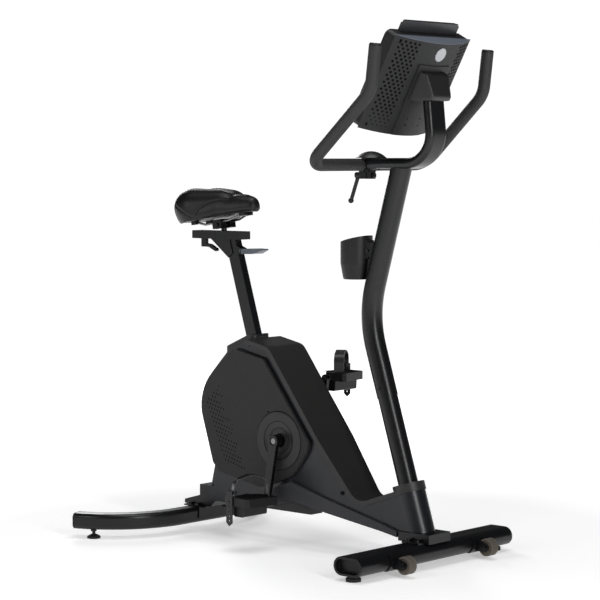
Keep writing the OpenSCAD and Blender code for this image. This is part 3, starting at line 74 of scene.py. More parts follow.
# %% [markdown]
# A product like this is shown on a white sweep. The floor is a pale sheet that glows a little more with the
# distance, so that it meets the background without a line. The world is white to the eye but much dimmer as
# a source of light, so that black plastic keeps its depth.

# %% Floor and world
FLOOR_REACH = 30  # metres to each side
GLOW_NEAR, GLOW_FAR = 1.0, 2.4  # metres from the middle of the bike
GLOW_LEAST, GLOW_MOST = 0.40, 0.98
WORLD_SEEN, WORLD_LIGHT = 1.05, 0.045
r = FLOOR_REACH
floor_mesh = bpy.data.meshes.new("floor")
floor_mesh.from_pydata([(-r, -r, 0), (r, -r, 0), (r, r, 0), (-r, r, 0)], [], [(0, 1, 2, 3)])
floor = bpy.data.objects.new("floor", floor_mesh)
scene.collection.objects.link(floor)


def link(tree, a, b):
    tree.links.new(a, b)


def add_node(tree, kind, **values):
    n = tree.nodes.new(kind)
    for key, value in values.items():
        if hasattr(n, key):
            setattr(n, key, value)
        else:
            n.inputs[key.replace("_", " ")].default_value = value
    return n


floor_paper = bpy.data.materials.new("floor_paper")
floor_paper.use_nodes = True
ft = floor_paper.node_tree
paper = ft.nodes["Principled BSDF"]
paper.inputs["Base Color"].default_value = (0.93, 0.93, 0.93, 1)
paper.inputs["Roughness"].default_value = 0.9
paper.inputs["Specular IOR Level"].default_value = 0.1
paper.inputs["Emission Color"].default_value = (1, 1, 1, 1)
floor_place = add_node(ft, "ShaderNodeTexCoord")
reach = add_node(ft, "ShaderNodeVectorMath", operation="LENGTH")
glow = add_node(ft, "ShaderNodeMapRange", From_Min=GLOW_NEAR, From_Max=GLOW_FAR,
                To_Min=GLOW_LEAST, To_Max=GLOW_MOST)
link(ft, floor_place.outputs["Object"], reach.inputs[0])
link(ft, reach.outputs["Value"], glow.inputs["Value"])
link(ft, glow.outputs["Result"], paper.inputs["Emission Strength"])
floor_mesh.materials.append(floor_paper)

world = bpy.data.worlds.new("studio")
scene.world = world
world.use_nodes = True
wt = world.node_tree
wt.nodes.clear()
seen = add_node(wt, "ShaderNodeBackground", Color=(1, 1, 1, 1), Strength=WORLD_SEEN)
lit = add_node(wt, "ShaderNodeBackground", Color=(0.96, 0.98, 1.0, 1), Strength=WORLD_LIGHT)
path_kind = add_node(wt, "ShaderNodeLightPath")
blend = add_node(wt, "ShaderNodeMixShader")
world_out = add_node(wt, "ShaderNodeOutputWorld")
link(wt, path_kind.outputs["Is Camera Ray"], blend.inputs[0])
link(wt, lit.outputs[0], blend.inputs[1])
link(wt, seen.outputs[0], blend.inputs[2])
link(wt, blend.outputs[0], world_out.inputs[0])
scene.view_settings.view_transform = "Standard"
print("world made")

# %% [markdown]
# Black parts are drawn by their highlights, so the lamps are large soft boxes. The tall one ahead lays the
# long streaks on the tubes. The others lift the side panels, the tops, and the edges that face away.


# %% Lamps
def soft_box(name, place, target, size, power):
    lamp = bpy.data.lights.new(name, "AREA")
    lamp.shape = "RECTANGLE"
    lamp.size, lamp.size_y = size
    lamp.energy = power
    o = bpy.data.objects.new(name, lamp)
    o.location = place
    o.rotation_euler = (Vector(target) - Vector(place)).to_track_quat("-Z", "Y").to_euler()
    scene.collection.objects.link(o)
    return o


# name, place, target, width and height in metres, power in watts
LAMPS = (
    ("key_box", (4.4, -1.7, 2.1), (0.1, 0.0, 0.7), (0.45, 2.6), 85),
    ("side_box", (-0.4, -4.6, 2.6), (-0.1, 0.0, 0.5), (1.8, 1.2), 38),
    ("top_box", (0.5, -0.2, 4.2), (0.0, 0.0, 0.6), (2.2, 2.2), 62),
    ("back_box", (-4.0, 2.4, 2.4), (-0.2, 0.0, 0.7), (1.2, 2.2), 70),
)
for lamp in LAMPS:
    soft_box(*lamp)
print("lamps made")

# %% [markdown]
# Every surface of the bike is some kind of black, so the finishes differ in depth, gloss and grain. Each
# finish has three layers of noise: a slow one that shifts the tone, a middle one that shifts the roughness,
# and a fine one that gives the grain of powder coat, moulded plastic or vinyl as a bump.

# %% Finish helper
GRAIN_DEPTH = 0.0004


def finish(name, colour, rough, grain=0.3, grain_scale=900.0, tone=0.18, wander=0.06, metal=0.0, coat=0.0,
           spec=0.5):
    m = bpy.data.materials.new(name)
    m.use_nodes = True
    t = m.node_tree
    shader = t.nodes["Principled BSDF"]
    shader.inputs["Metallic"].default_value = metal
    shader.inputs["Specular IOR Level"].default_value = spec
    shader.inputs["Coat Weight"].default_value = coat
    shader.inputs["Coat Roughness"].default_value = 0.12
    place = add_node(t, "ShaderNodeTexCoord")
    slow = add_node(t, "ShaderNodeTexNoise", Scale=14.0, Detail=3.0)
    middle = add_node(t, "ShaderNodeTexNoise", Scale=95.0, Detail=4.0)
    fine = add_node(t, "ShaderNodeTexNoise", Scale=grain_scale, Detail=2.0)
    for n in (slow, middle, fine):
        link(t, place.outputs["Object"], n.inputs["Vector"])
    mix = add_node(t, "ShaderNodeMix", data_type="RGBA")
    mix.inputs["A"].default_value = (*[c * (1 - tone) for c in colour], 1)
    mix.inputs["B"].default_value = (*[min(1, c * (1 + tone)) for c in colour], 1)
    link(t, slow.outputs["Fac"], mix.inputs["Factor"])
    link(t, mix.outputs["Result"], shader.inputs["Base Color"])
    span = add_node(t, "ShaderNodeMapRange")
    span.inputs["To Min"].default_value = max(0.02, rough - wander)
    span.inputs["To Max"].default_value = min(1.0, rough + wander)
    link(t, middle.outputs["Fac"], span.inputs["Value"])
    link(t, span.outputs["Result"], shader.inputs["Roughness"])
    bump = add_node(t, "ShaderNodeBump", Strength=grain, Distance=GRAIN_DEPTH)
    link(t, fine.outputs["Fac"], bump.inputs["Height"])
    link(t, bump.outputs["Normal"], shader.inputs["Normal"])
    return m


# %% [markdown]
# Some mouldings carry a second finish on the same shell: the strip along the shroud's flare is a matt grey,
# the console's top is slate, and its back holds a plain satin disc. A mask that is worked out from Object
# coordinates tells the shader where each one lies, so the CAD mesh needs no painting. Most tests are
# planes: a point counts where it lies on the plane's positive side.


# %% Second finish inside a mask
def plane_mask(tree, planes):
    """1 where the point lies on the positive side of every plane (direction, least distance in metres)."""
    place = add_node(tree, "ShaderNodeTexCoord")
    product = None
    for direction, least in planes:
        dot = add_node(tree, "ShaderNodeVectorMath", operation="DOT_PRODUCT")
        dot.inputs[1].default_value = direction
        link(tree, place.outputs["Object"], dot.inputs[0])
        over = add_node(tree, "ShaderNodeMath", operation="GREATER_THAN")
        over.inputs[1].default_value = least
        link(tree, dot.outputs["Value"], over.inputs[0])
        if product is None:
            product = over.outputs[0]
        else:
            both = add_node(tree, "ShaderNodeMath", operation="MULTIPLY")
            link(tree, product, both.inputs[0])
            link(tree, over.outputs[0], both.inputs[1])
            product = both.outputs[0]
    return product


def second_finish(material, mask, colour, rough):
    """Swaps colour and roughness inside the mask."""
    t = material.node_tree
    shader = t.nodes["Principled BSDF"]
    for socket, kind, value in (("Base Color", "RGBA", (*colour, 1)), ("Roughness", "VALUE", rough)):
        old = shader.inputs[socket].links[0].from_socket
        swap = add_node(t, "ShaderNodeMix", data_type="RGBA" if kind == "RGBA" else "FLOAT")
        ends = [i for i in swap.inputs if i.type == kind and i.name in "AB"]
        factor = [i for i in swap.inputs if i.name == "Factor" and i.type == "VALUE"][0]
        link(t, mask, factor)
        link(t, old, ends[0])
        ends[1].default_value = value
        result = [o for o in swap.outputs if o.type == kind][0]
        link(t, result, shader.inputs[socket])


# %% [markdown]
# The finishes run from the frame's powder coat to the rubber of the feet. The three numbers are linear
# colour, the fourth is roughness. Blacks of a product differ by less than the eye expects, so these were
# set against each other under the same lamps.

# %% Finishes of the frame and the mouldings
powder_coat = finish("powder_coat", (0.0042, 0.0044, 0.0052), 0.30, spec=0.38, grain=0.15, grain_scale=1100)
shroud_black = finish("shroud_black", (0.0052, 0.0058, 0.0090), 0.33, grain=0.18, grain_scale=1400)
panel_charcoal = finish("panel_charcoal", (0.0160, 0.0158, 0.0156), 0.56, spec=0.35, grain=0.5,
                        grain_scale=1700, tone=0.08)
spine_grey = finish("spine_grey", (0.0150, 0.0148, 0.0145), 0.44, grain=0.3, grain_scale=1500, tone=0.08)
collar_black = finish("collar_black", (0.0085, 0.0088, 0.0100), 0.40, grain=0.25)
cover_black = finish("cover_black", (0.0120, 0.0118, 0.0122), 0.45, grain=0.4)
console_grey = finish("console_grey", (0.0062, 0.0064, 0.0070), 0.48, spec=0.34, grain=0.7, grain_scale=1300)
hood_satin = finish("hood_satin", (0.0120, 0.0120, 0.0126), 0.42, spec=0.5, grain=0.5, grain_scale=1300)
trim_black = finish("trim_black", (0.0046, 0.0046, 0.0050), 0.42, spec=0.35, grain=0.4)
slate = finish("slate", (0.0750, 0.0880, 0.1080), 0.42, grain=0.3, tone=0.1)
rest_gloss = finish("rest_gloss", (0.0150, 0.0155, 0.0175), 0.34, grain=0.1, coat=0.1)
print("mouldings finished")

# %% Finishes of steel, rubber and foam
dark_zinc = finish("dark_zinc", (0.060, 0.060, 0.065), 0.32, metal=1.0, grain=0.2)
bright_steel = finish("bright_steel", (0.24, 0.24, 0.25), 0.34, metal=1.0, grain=0.2)
turned_iron = finish("turned_iron", (0.22, 0.22, 0.23), 0.42, metal=1.0, grain=0.3)
crank_paint = finish("crank_paint", (0.0020, 0.0021, 0.0024), 0.26, spec=0.35, grain=0.15)
foot_rubber = finish("foot_rubber", (0.0080, 0.0080, 0.0080), 0.70, grain=0.6)
tread_rubber = finish("tread_rubber", (0.115, 0.098, 0.078), 0.80, grain=0.8, grain_scale=600)
grip_foam = finish("grip_foam", (0.0140, 0.0140, 0.0150), 0.62, grain=0.9, grain_scale=1600, tone=0.1)
strap_rubber = finish("strap_rubber", (0.0070, 0.0070, 0.0084), 0.40, grain=0.3)
belt_rubber = finish("belt_rubber", (0.0100, 0.0100, 0.0100), 0.75, grain=0.6)
vinyl = finish("vinyl", (0.0055, 0.0055, 0.0062), 0.38, spec=0.32, grain=0.8, grain_scale=620, tone=0.14)
board_green = finish("board_green", (0.02, 0.12, 0.05), 0.4)
key_red = finish("key_red", (0.30, 0.03, 0.02), 0.45)
key_grey = finish("key_grey", (0.09, 0.09, 0.10), 0.5)
# painted shade: near black for the inside of holes and recesses, also the dark of the covers' joint lines
hole_shade_and_joint_dark = finish("hole_shade_and_joint_dark", (0.0016, 0.0016, 0.0016), 0.95, grain=0.0, spec=0.1)
window_tint = finish("window_tint", (0.0080, 0.0100, 0.0110), 0.08, grain=0.0, wander=0.02, coat=0.6)
print("steel, rubber and foam finished")


# %% Strip along the shroud's flare
X_FRONT = 479.28  # mm, the front of the base, from which the CAD model's mouldings are set out
FLARE_FRONT = X_FRONT - 64.5
FLARE_LINE = [(FLARE_FRONT, 92), (X_FRONT - 443, 197), (X_FRONT - 512, 173), (X_FRONT - 520, 140)]
FLARE_MARGIN = 0.0006


def edge_plane(a, b):
    """Plane through two points in X and Z (mm), positive on the left of the way from a to b."""
    run = Vector((b[0] - a[0], 0, b[1] - a[1])).normalized()
    direction = Vector((-run.z, 0, run.x))
    return direction, direction.dot(Vector((a[0], 0, a[1]))) / 1000 - FLARE_MARGIN


flare_planes = [edge_plane(a, b) for a, b in zip(FLARE_LINE, FLARE_LINE[1:])]
flare_planes.append((Vector((-1, 0, 0)), -FLARE_FRONT / 1000))
flare_mask = plane_mask(shroud_black.node_tree, flare_planes)
second_finish(shroud_black, flare_mask, (0.0240, 0.0245, 0.0290), 0.60)
print("flare strip made")

# %% Top and disc of the console
CONSOLE_TILT = math.radians(28.5)
CONSOLE_H = 0.282
TOP_SKIN = 0.0009
DISC_R, DISC_BELOW_TOP = 0.0203, 0.033
console_at = Vector((0.40428, 0, 1.196))  # lower middle of the console's back
console_out = Vector((math.cos(CONSOLE_TILT), 0, -math.sin(CONSOLE_TILT)))
console_up = Vector((math.sin(CONSOLE_TILT), 0, math.cos(CONSOLE_TILT)))
console_shell = console_grey.copy()
console_shell.name = "console_shell"
shell_tree = console_shell.node_tree
top_plane = [(console_up, console_up.dot(console_at) + CONSOLE_H - TOP_SKIN)]
second_finish(console_shell, plane_mask(shell_tree, top_plane), (0.105, 0.120, 0.150), 0.42)
place = add_node(shell_tree, "ShaderNodeTexCoord")
away = add_node(shell_tree, "ShaderNodeVectorMath", operation="DISTANCE")
away.inputs[1].default_value = console_at + console_up * (CONSOLE_H - DISC_BELOW_TOP)
inside = add_node(shell_tree, "ShaderNodeMath", operation="LESS_THAN")
inside.inputs[1].default_value = DISC_R
link(shell_tree, place.outputs["Object"], away.inputs[0])
link(shell_tree, away.outputs["Value"], inside.inputs[0])
second_finish(console_shell, inside.outputs[0], (0.40, 0.41, 0.43), 0.35)
print("console top and disc made")

# %% [markdown]
# Each CAD piece keeps its shape and takes its finish here. One table holds them all, so a piece without a
# finish would show at once.

# %% Finish of every CAD piece
dressed = {
    powder_coat: ["main_frame", "front_stabilizer", "rear_stabilizer", "lower_mast", "upper_mast",
                  "bar_clamp", "handlebar", "seat_post"],
    shroud_black: ["shroud_right", "shroud_left"],
    panel_charcoal: ["side_panel_right", "side_panel_left"],
    spine_grey: ["spine_cover"],
    collar_black: ["seat_post_collar", "clamp_cover"],
    cover_black: ["crank_covers"],
    console_shell: ["console_back"],
    console_grey: ["console_front"],
    trim_black: ["stabilizer_caps", "power_inlet", "bottle_holder", "clamp_lever", "bar_end_caps",
                 "console_boot", "crank_pulley", "pedal_right", "pedal_left", "servo_motor", "slider_lever",
                 "saddle_base"],
    rest_gloss: ["tablet_rest"],
    slate: ["height_lever"],
    dark_zinc: ["frame_bolts", "cover_screws"],
    bright_steel: ["frame_bearings", "crank_axle", "pedal_spindles", "flywheel_shaft", "brake_magnets",
                   "latch_rod", "saddle_rails"],
    turned_iron: ["flywheel"],
    crank_paint: ["crank_arms", "seat_slider", "saddle_clamp"],
    foot_rubber: ["front_feet", "level_foot_right", "level_foot_left"],
    tread_rubber: ["transport_wheel_right", "transport_wheel_left"],
    grip_foam: ["foam_grips"],
    strap_rubber: ["strap_right", "strap_left"],
    belt_rubber: ["drive_belt"],
    vinyl: ["saddle_pad"],
    board_green: ["console_board"],
    key_red: ["start_button"],
    key_grey: ["up_button", "down_button"],
    window_tint: ["display_lens"],
}
for material, names in dressed.items():
    for name in names:
        if not nodes[name].material_slots:
            nodes[name].data.materials.append(material)
        for slot in nodes[name].material_slots:
            slot.material = material
bare = sorted(set(nodes) - {n for names in dressed.values() for n in names})
print("pieces without a finish:", bare)

# %% [markdown]
# A moulded or welded part never has knife edges: paint and tooling leave a radius of about a millimetre,
# and that radius is what catches the light and draws the part. The CAD solids have sharp edges, so each
# hard node gets a small Bevel. Its mesh is loose triangles, so a Weld joins them and a planar Decimate
# clears the flat faces first. Weighted normals then keep the flats flat.

# %% Soft edges on the CAD pieces
SAME_POINT = 0.00002
SAME_PLANE = math.radians(1.0)
HARD_EDGE = math.radians(32)
LARGE_RADIUS = 3  # mm, from which a bevel takes four steps in place of two
# radius in mm for each piece
edge_radius = {
    "shroud_right": 1.6, "shroud_left": 1.6, "side_panel_right": 2.2, "side_panel_left": 2.2,
    "spine_cover": 1.6, "console_back": 1.4, "console_front": 1.4, "tablet_rest": 0.8, "crank_arms": 1.6,
    "pedal_right": 2.5, "pedal_left": 2.5, "strap_right": 0.7, "strap_left": 0.7, "seat_post": 5.0,
    "main_frame": 1.4, "front_stabilizer": 1.0, "rear_stabilizer": 1.0, "upper_mast": 0.8, "seat_slider": 0.8,
    "slider_lever": 1.0, "clamp_lever": 1.0, "saddle_clamp": 0.8, "saddle_base": 1.0, "stabilizer_caps": 1.2,
    "seat_post_collar": 1.2, "clamp_cover": 1.2, "bottle_holder": 1.0, "bar_end_caps": 0.8,
    "crank_covers": 1.2,
}
for name, radius in edge_radius.items():
    piece = nodes[name]
    weld = piece.modifiers.new("weld", "WELD")
    weld.merge_threshold = SAME_POINT
    flat = piece.modifiers.new("flat", "DECIMATE")
    flat.decimate_type = "DISSOLVE"
    flat.angle_limit = SAME_PLANE
    soft = piece.modifiers.new("soft", "BEVEL")
    soft.width = radius / 1000
    soft.segments = 2 if radius < LARGE_RADIUS else 4
    soft.limit_method = "ANGLE"
    soft.angle_limit = HARD_EDGE
    piece.modifiers.new("even", "WEIGHTED_NORMAL")
print("edges softened on", len(edge_radius), "pieces")

# %% [markdown]
# Everything small that repeats on this bike, the vents, the perforations, the stitches and the treads, is a
# small shape set on many points. Geometry Nodes are made for that. Each point carries the direction that
# its shape faces, the direction that it lies along, and a size, as attributes, so one tree serves flat and
# curved surfaces alike.


# %% Points that carry a direction and a size
def point_piece(name, rows, material):
    """rows: (place, facing, along, size) for each point, in metres."""
    mesh = bpy.data.meshes.new(name)
    mesh.from_pydata([row[0] for row in rows], [], [])
    for column, key in ((1, "facing"), (2, "along")):
        layer = mesh.attributes.new(key, "FLOAT_VECTOR", "POINT")
        for k, row in enumerate(rows):
            layer.data[k].vector = row[column]
    layer = mesh.attributes.new("size", "FLOAT", "POINT")
    for k, row in enumerate(rows):
        layer.data[k].value = row[3]
    piece = bpy.data.objects.new(name, mesh)
    scene.collection.objects.link(piece)
    mesh.materials.append(material)
    return piece


# %% The tree that repeats a shape on points
def tree_input(tree, name, kind, value=None):
    socket = tree.interface.new_socket(name=name, in_out="INPUT", socket_type=kind)
    if value is not None:
        socket.default_value = value
    return socket


def named(tree, name, kind):
    n = tree.nodes.new("GeometryNodeInputNamedAttribute")
    n.data_type = kind
    n.inputs["Name"].default_value = name
    return n


def repeat_tree(name, build_shape):
    tree = bpy.data.node_groups.new(name, "GeometryNodeTree")
    tree_input(tree, "Points", "NodeSocketGeometry")
    tree_input(tree, "Width", "NodeSocketFloat", 0.004)
    tree_input(tree, "Length", "NodeSocketFloat", 0.004)
    tree_input(tree, "Height", "NodeSocketFloat", 0.0005)
    tree_input(tree, "Spread", "NodeSocketFloat", 0.0)
    tree_input(tree, "Seed", "NodeSocketInt", 7)
    tree_input(tree, "Material", "NodeSocketMaterial")
    tree.interface.new_socket(name="Geometry", in_out="OUTPUT", socket_type="NodeSocketGeometry")
    given = tree.nodes.new("NodeGroupInput")
    out = tree.nodes.new("NodeGroupOutput")
    to_points = tree.nodes.new("GeometryNodeMeshToPoints")
    shape = build_shape(tree, given)
    aim = tree.nodes.new("FunctionNodeAlignRotationToVector")
    aim.axis = "Z"
    turn = tree.nodes.new("FunctionNodeAlignRotationToVector")
    turn.axis = "X"
    turn.pivot_axis = "Z"
    facing = named(tree, "facing", "FLOAT_VECTOR")
    along = named(tree, "along", "FLOAT_VECTOR")
    size = named(tree, "size", "FLOAT")
    wander = tree.nodes.new("FunctionNodeRandomValue")
    wander.data_type = "FLOAT"
    low = add_node(tree, "ShaderNodeMath", operation="SUBTRACT")
    low.inputs[0].default_value = 1.0
    high = add_node(tree, "ShaderNodeMath", operation="ADD")
    high.inputs[0].default_value = 1.0
    scale = add_node(tree, "ShaderNodeMath", operation="MULTIPLY")
    put = tree.nodes.new("GeometryNodeInstanceOnPoints")
    real = tree.nodes.new("GeometryNodeRealizeInstances")
    paint = tree.nodes.new("GeometryNodeSetMaterial")
    link(tree, given.outputs["Points"], to_points.inputs["Mesh"])
    link(tree, to_points.outputs["Points"], put.inputs["Points"])
    link(tree, shape, put.inputs["Instance"])
    link(tree, facing.outputs["Attribute"], aim.inputs["Vector"])
    link(tree, aim.outputs["Rotation"], turn.inputs["Rotation"])
    link(tree, along.outputs["Attribute"], turn.inputs["Vector"])
    link(tree, turn.outputs["Rotation"], put.inputs["Rotation"])
    link(tree, given.outputs["Spread"], low.inputs[1])
    link(tree, given.outputs["Spread"], high.inputs[1])
    link(tree, low.outputs[0], wander.inputs[2])
    link(tree, high.outputs[0], wander.inputs[3])
    link(tree, given.outputs["Seed"], wander.inputs["Seed"])
    link(tree, wander.outputs[1], scale.inputs[0])
    link(tree, size.outputs["Attribute"], scale.inputs[1])
    link(tree, scale.outputs[0], put.inputs["Scale"])
    link(tree, put.outputs["Instances"], real.inputs["Geometry"])
    link(tree, real.outputs["Geometry"], paint.inputs["Geometry"])
    link(tree, given.outputs["Material"], paint.inputs["Material"])
    link(tree, paint.outputs["Geometry"], out.inputs["Geometry"])
    return tree


# %% Setting the inputs and baking the result
def bake_tree(piece, tree, **values):
    """Runs the tree on the piece and leaves a plain mesh with no modifier."""
    live = piece.modifiers.new("repeat", "NODES")
    live.node_group = tree
    items = [s for s in tree.interface.items_tree if s.item_type == "SOCKET" and s.in_out == "INPUT"]
    sockets = {s.name: s.identifier for s in items}
    for key, value in values.items():
        live[sockets[key]] = value
    live[sockets["Material"]] = piece.data.materials[0]
    bpy.context.view_layer.update()
    seen_by = bpy.context.evaluated_depsgraph_get()
    mesh = bpy.data.meshes.new_from_object(piece.evaluated_get(seen_by))
    piece.modifiers.clear()
    old = piece.data
    piece.data = mesh
    mesh.name = piece.name
    bpy.data.meshes.remove(old)
    print(piece.name, len(mesh.polygons), "faces")


# %% [markdown]
# A vent is a short drilled hole. On a dark moulding it shows as a darker round, the shade inside the hole,
# and nothing behind it can be seen. Cutting each one would cost many faces, so the shape set on each point
# is a thin disc of painted shade that stands a hair above the skin. The rows start and end unevenly, as a
# pattern that fades towards its edges.

# %% Side panel vents
VENT_R = 0.0023
DISC_DEPTH = 0.0004
VENT_STEP, ROW_STEP = Vector((10.89, 0, -2.58)), Vector((-4.76, 0, -11.25))  # mm
FIRST_VENT = Vector((-251.1, 0, 454.4))  # mm
SMALL_ROWS, SMALL_SIZE = 2, 0.8
# the first vent of each row, and how many follow it
VENT_ROWS = ((0, 1), (0, 1), (-1, 4), (-1, 2), (-2, 5), (-2, 7), (-1, 5), (0, 8), (1, 5),
             (2, 8), (3, 7), (4, 5), (5, 8), (6, 7), (7, 6), (8, 8), (9, 7), (10, 8))


def hole_shade_disc(tree, given):
    disc = tree.nodes.new("GeometryNodeMeshCylinder")
    disc.inputs["Vertices"].default_value = 12
    disc.fill_type = "NGON"
    link(tree, given.outputs["Width"], disc.inputs["Radius"])
    link(tree, given.outputs["Height"], disc.inputs["Depth"])
    return disc.outputs["Mesh"]


vent_tree = repeat_tree("vents", hole_shade_disc)
for side, tag in ((-1, "right"), (1, "left")):
    low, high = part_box("side_panel_" + tag)
    face = low.y if side < 0 else high.y
    rows = []
    for j, (start, count) in enumerate(VENT_ROWS):
        for k in range(start, start + count):
            at = (FIRST_VENT + VENT_STEP * k + ROW_STEP * j) / 1000
            rows.append(((at.x, face, at.z), (0, side, 0), (1, 0, 0), SMALL_SIZE if j < SMALL_ROWS else 1.0))
    # each vent is a disc of painted shade
    vents = point_piece("panel_vent_shade_" + tag, rows, hole_shade_and_joint_dark)
    bake_tree(vents, vent_tree, Width=VENT_R, Height=DISC_DEPTH, Spread=0.04, Seed=11)
    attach(vents, "frame")

# %% [markdown]
# The console's back is one curved shell. Two bands of it are pierced so that the speakers and the board can
# breathe. The holes stand in a quincunx and shrink to dimples towards the lower edge. Their places come
# from a formula in the console's own axes, and each one faces out along the curve. Each hole is a disc of
# painted shade, as the vents are.

# %% Console perforations
CONSOLE_R = 0.325  # radius of the curved back
PITCH_Y, PITCH_Z = 0.0140, 0.0104
BAND_START, BAND_TOP, BAND_ROWS = 0.090, 0.270, 25
FADE_BELOW, FADE_LEAST = 0.075, 0.45
HOLE_R, HOLE_DEPTH = 0.0036, 0.0011


def on_console(y, z):
    """A point on the console's curved back and the way that it faces there."""
    bulge = math.sqrt(CONSOLE_R ** 2 - y * y)
    facing = (console_out * bulge + Vector((0, y, 0))) / CONSOLE_R
    place = console_at + console_out * (bulge - CONSOLE_R) + Vector((0, y, 0)) + console_up * z
    return place, facing


def faded(z):
    """Size of a hole at this height."""
    return 1.0 if z > FADE_BELOW else FADE_LEAST + (1 - FADE_LEAST) * (z / FADE_BELOW) ** 1.5


perforations = []
for side in (-1, 1):
    for j in range(BAND_ROWS):
        z = BAND_TOP - j * PITCH_Z
        odd = j % 2
        for k in range(5 - odd):
            y = side * (BAND_START + odd * PITCH_Y / 2 + k * PITCH_Y)
            place, facing = on_console(y, z)
            perforations.append((tuple(place), tuple(facing), tuple(console_up), faded(z)))
# each perforation is a disc of painted shade
holes = point_piece("console_perforation_shade", perforations, hole_shade_and_joint_dark)
bake_tree(holes, vent_tree, Width=HOLE_R, Height=HOLE_DEPTH, Spread=0.03, Seed=5)
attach(holes, "frame")

# %% [markdown]
# The neck goes into the console through a moulded hood with wide, soft fillets. A bevel can't make a fillet
# that is wider than the wall is thick, so the hood is made again: the outer hull of the solid is pushed a
# little way into the console, remeshed to an even skin, and smoothed until the fillets have the right
# width.

# %% Hood round the neck
HOOD_SINK = 0.014
HOOD_SKIN = 0.0025
HOOD_EASE = 26


def replace_mesh(piece):
    """Applies every modifier of a piece and leaves a plain mesh."""
    bpy.context.view_layer.update()
    mesh = bpy.data.meshes.new_from_object(piece.evaluated_get(bpy.context.evaluated_depsgraph_get()))
    piece.modifiers.clear()
    piece.data = mesh


def shade_soft(piece, material):
    """Smooth faces in one finish."""
    for face in piece.data.polygons:
        face.use_smooth = True
    piece.data.materials.clear()
    piece.data.materials.append(material)


corners = {tuple(round(c, 5) for c in v.co) for v in nodes["console_boot"].data.vertices}
bm = bmesh.new()
for corner in sorted(corners):
    bm.verts.new(corner)
    bm.verts.new(Vector(corner) - console_out * HOOD_SINK)
hull = bmesh.ops.convex_hull(bm, input=bm.verts)
spare = {e for e in hull["geom_interior"] + hull["geom_unused"] if isinstance(e, bmesh.types.BMVert)}
bmesh.ops.delete(bm, geom=list(spare), context="VERTS")
hood_mesh = bpy.data.meshes.new("neck_hood")
bm.to_mesh(hood_mesh)
bm.free()
hood = bpy.data.objects.new("neck_hood", hood_mesh)
scene.collection.objects.link(hood)
skin = hood.modifiers.new("skin", "REMESH")
skin.mode = "VOXEL"
skin.voxel_size = HOOD_SKIN
ease = hood.modifiers.new("ease", "SMOOTH")
ease.factor = 0.5
ease.iterations = HOOD_EASE
replace_mesh(hood)
shade_soft(hood, hood_satin)
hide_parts("console_boot")
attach(hood, "frame")
print("hood", len(hood.data.vertices), "points")

# %% [markdown]
# Round each crank the panel carries a flush cover. Its joint lines and its small screws are what the eye
# reads, so rings and screw recesses are set on it with the same tree. A ring is a circle swept with a round
# wire that carries the dark of the joint; each screw recess is a disc of painted shade.

# %% Rings and screw recesses of the crank covers
WIRE_R = 0.0009
RECESS_R = 0.0030
INNER_RINGS = ((0.0562, 0.0030), (0.0385, -0.0022), (0.0345, -0.0022))  # radius, height over the panel
RECESSES = ((-0.0504, 0.3946), (0.0756, 0.3114))  # X and Z


def ring(tree, given):
    path = tree.nodes.new("GeometryNodeCurvePrimitiveCircle")
    path.inputs["Resolution"].default_value = 72
    wire = tree.nodes.new("GeometryNodeCurvePrimitiveCircle")
    wire.inputs["Resolution"].default_value = 6
    sweep = tree.nodes.new("GeometryNodeCurveToMesh")
    link(tree, given.outputs["Width"], path.inputs["Radius"])
    link(tree, given.outputs["Height"], wire.inputs["Radius"])
    link(tree, path.outputs["Curve"], sweep.inputs["Curve"])
    link(tree, wire.outputs["Curve"], sweep.inputs["Profile Curve"])
    return sweep.outputs["Mesh"]


ring_tree = repeat_tree("rings", ring)
cover_low, cover_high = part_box("crank_covers")
crank_at = Vector(((cover_low.x + cover_high.x) / 2, 0, (cover_low.z + cover_high.z) / 2))
COVER_R = (cover_high.x - cover_low.x) / 2
PANEL_OUT = cover_high.y - 0.003
for side, tag in ((-1, "right"), (1, "left")):
    out, forward = (0, side, 0), (1, 0, 0)
    rows = []
    for radius, proud in ((COVER_R + 0.0004, 0.0002), *INNER_RINGS):
        middle = (crank_at.x, side * (PANEL_OUT + proud), crank_at.z)
        rows.append((middle, out, forward, radius / COVER_R))
    rings = point_piece("cover_rings_" + tag, rows, hole_shade_and_joint_dark)
    bake_tree(rings, ring_tree, Width=COVER_R, Height=WIRE_R)
    rows = [((x, side * PANEL_OUT, z), out, forward, 1.0) for x, z in RECESSES]
    # each screw recess is a disc of painted shade
    recesses = point_piece("cover_recess_shade_" + tag, rows, hole_shade_and_joint_dark)
    bake_tree(recesses, vent_tree, Width=RECESS_R, Height=DISC_DEPTH)
    for piece in (rings, recesses):
        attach(piece, "frame")

# %% [markdown]
# The transport wheels are moulded rubber with a ribbed tread. The ribs are flush with the rim, so what is
# made here is the painted shade of the grooves between them, one dark bar for each in the feet's darker
# rubber, which turns with its wheel.

# %% Tread grooves
GROOVES = 30
GROOVE_W, GROOVE_DEPTH, GROOVE_SHARE = 0.0011, 0.0005, 0.8


def bar(tree, given):
    block = tree.nodes.new("GeometryNodeMeshCube")
    size = tree.nodes.new("ShaderNodeCombineXYZ")
    link(tree, given.outputs["Length"], size.inputs[0])
    link(tree, given.outputs["Width"], size.inputs[1])
    link(tree, given.outputs["Height"], size.inputs[2])
    link(tree, size.outputs[0], block.inputs["Size"])
    return block.outputs["Mesh"]


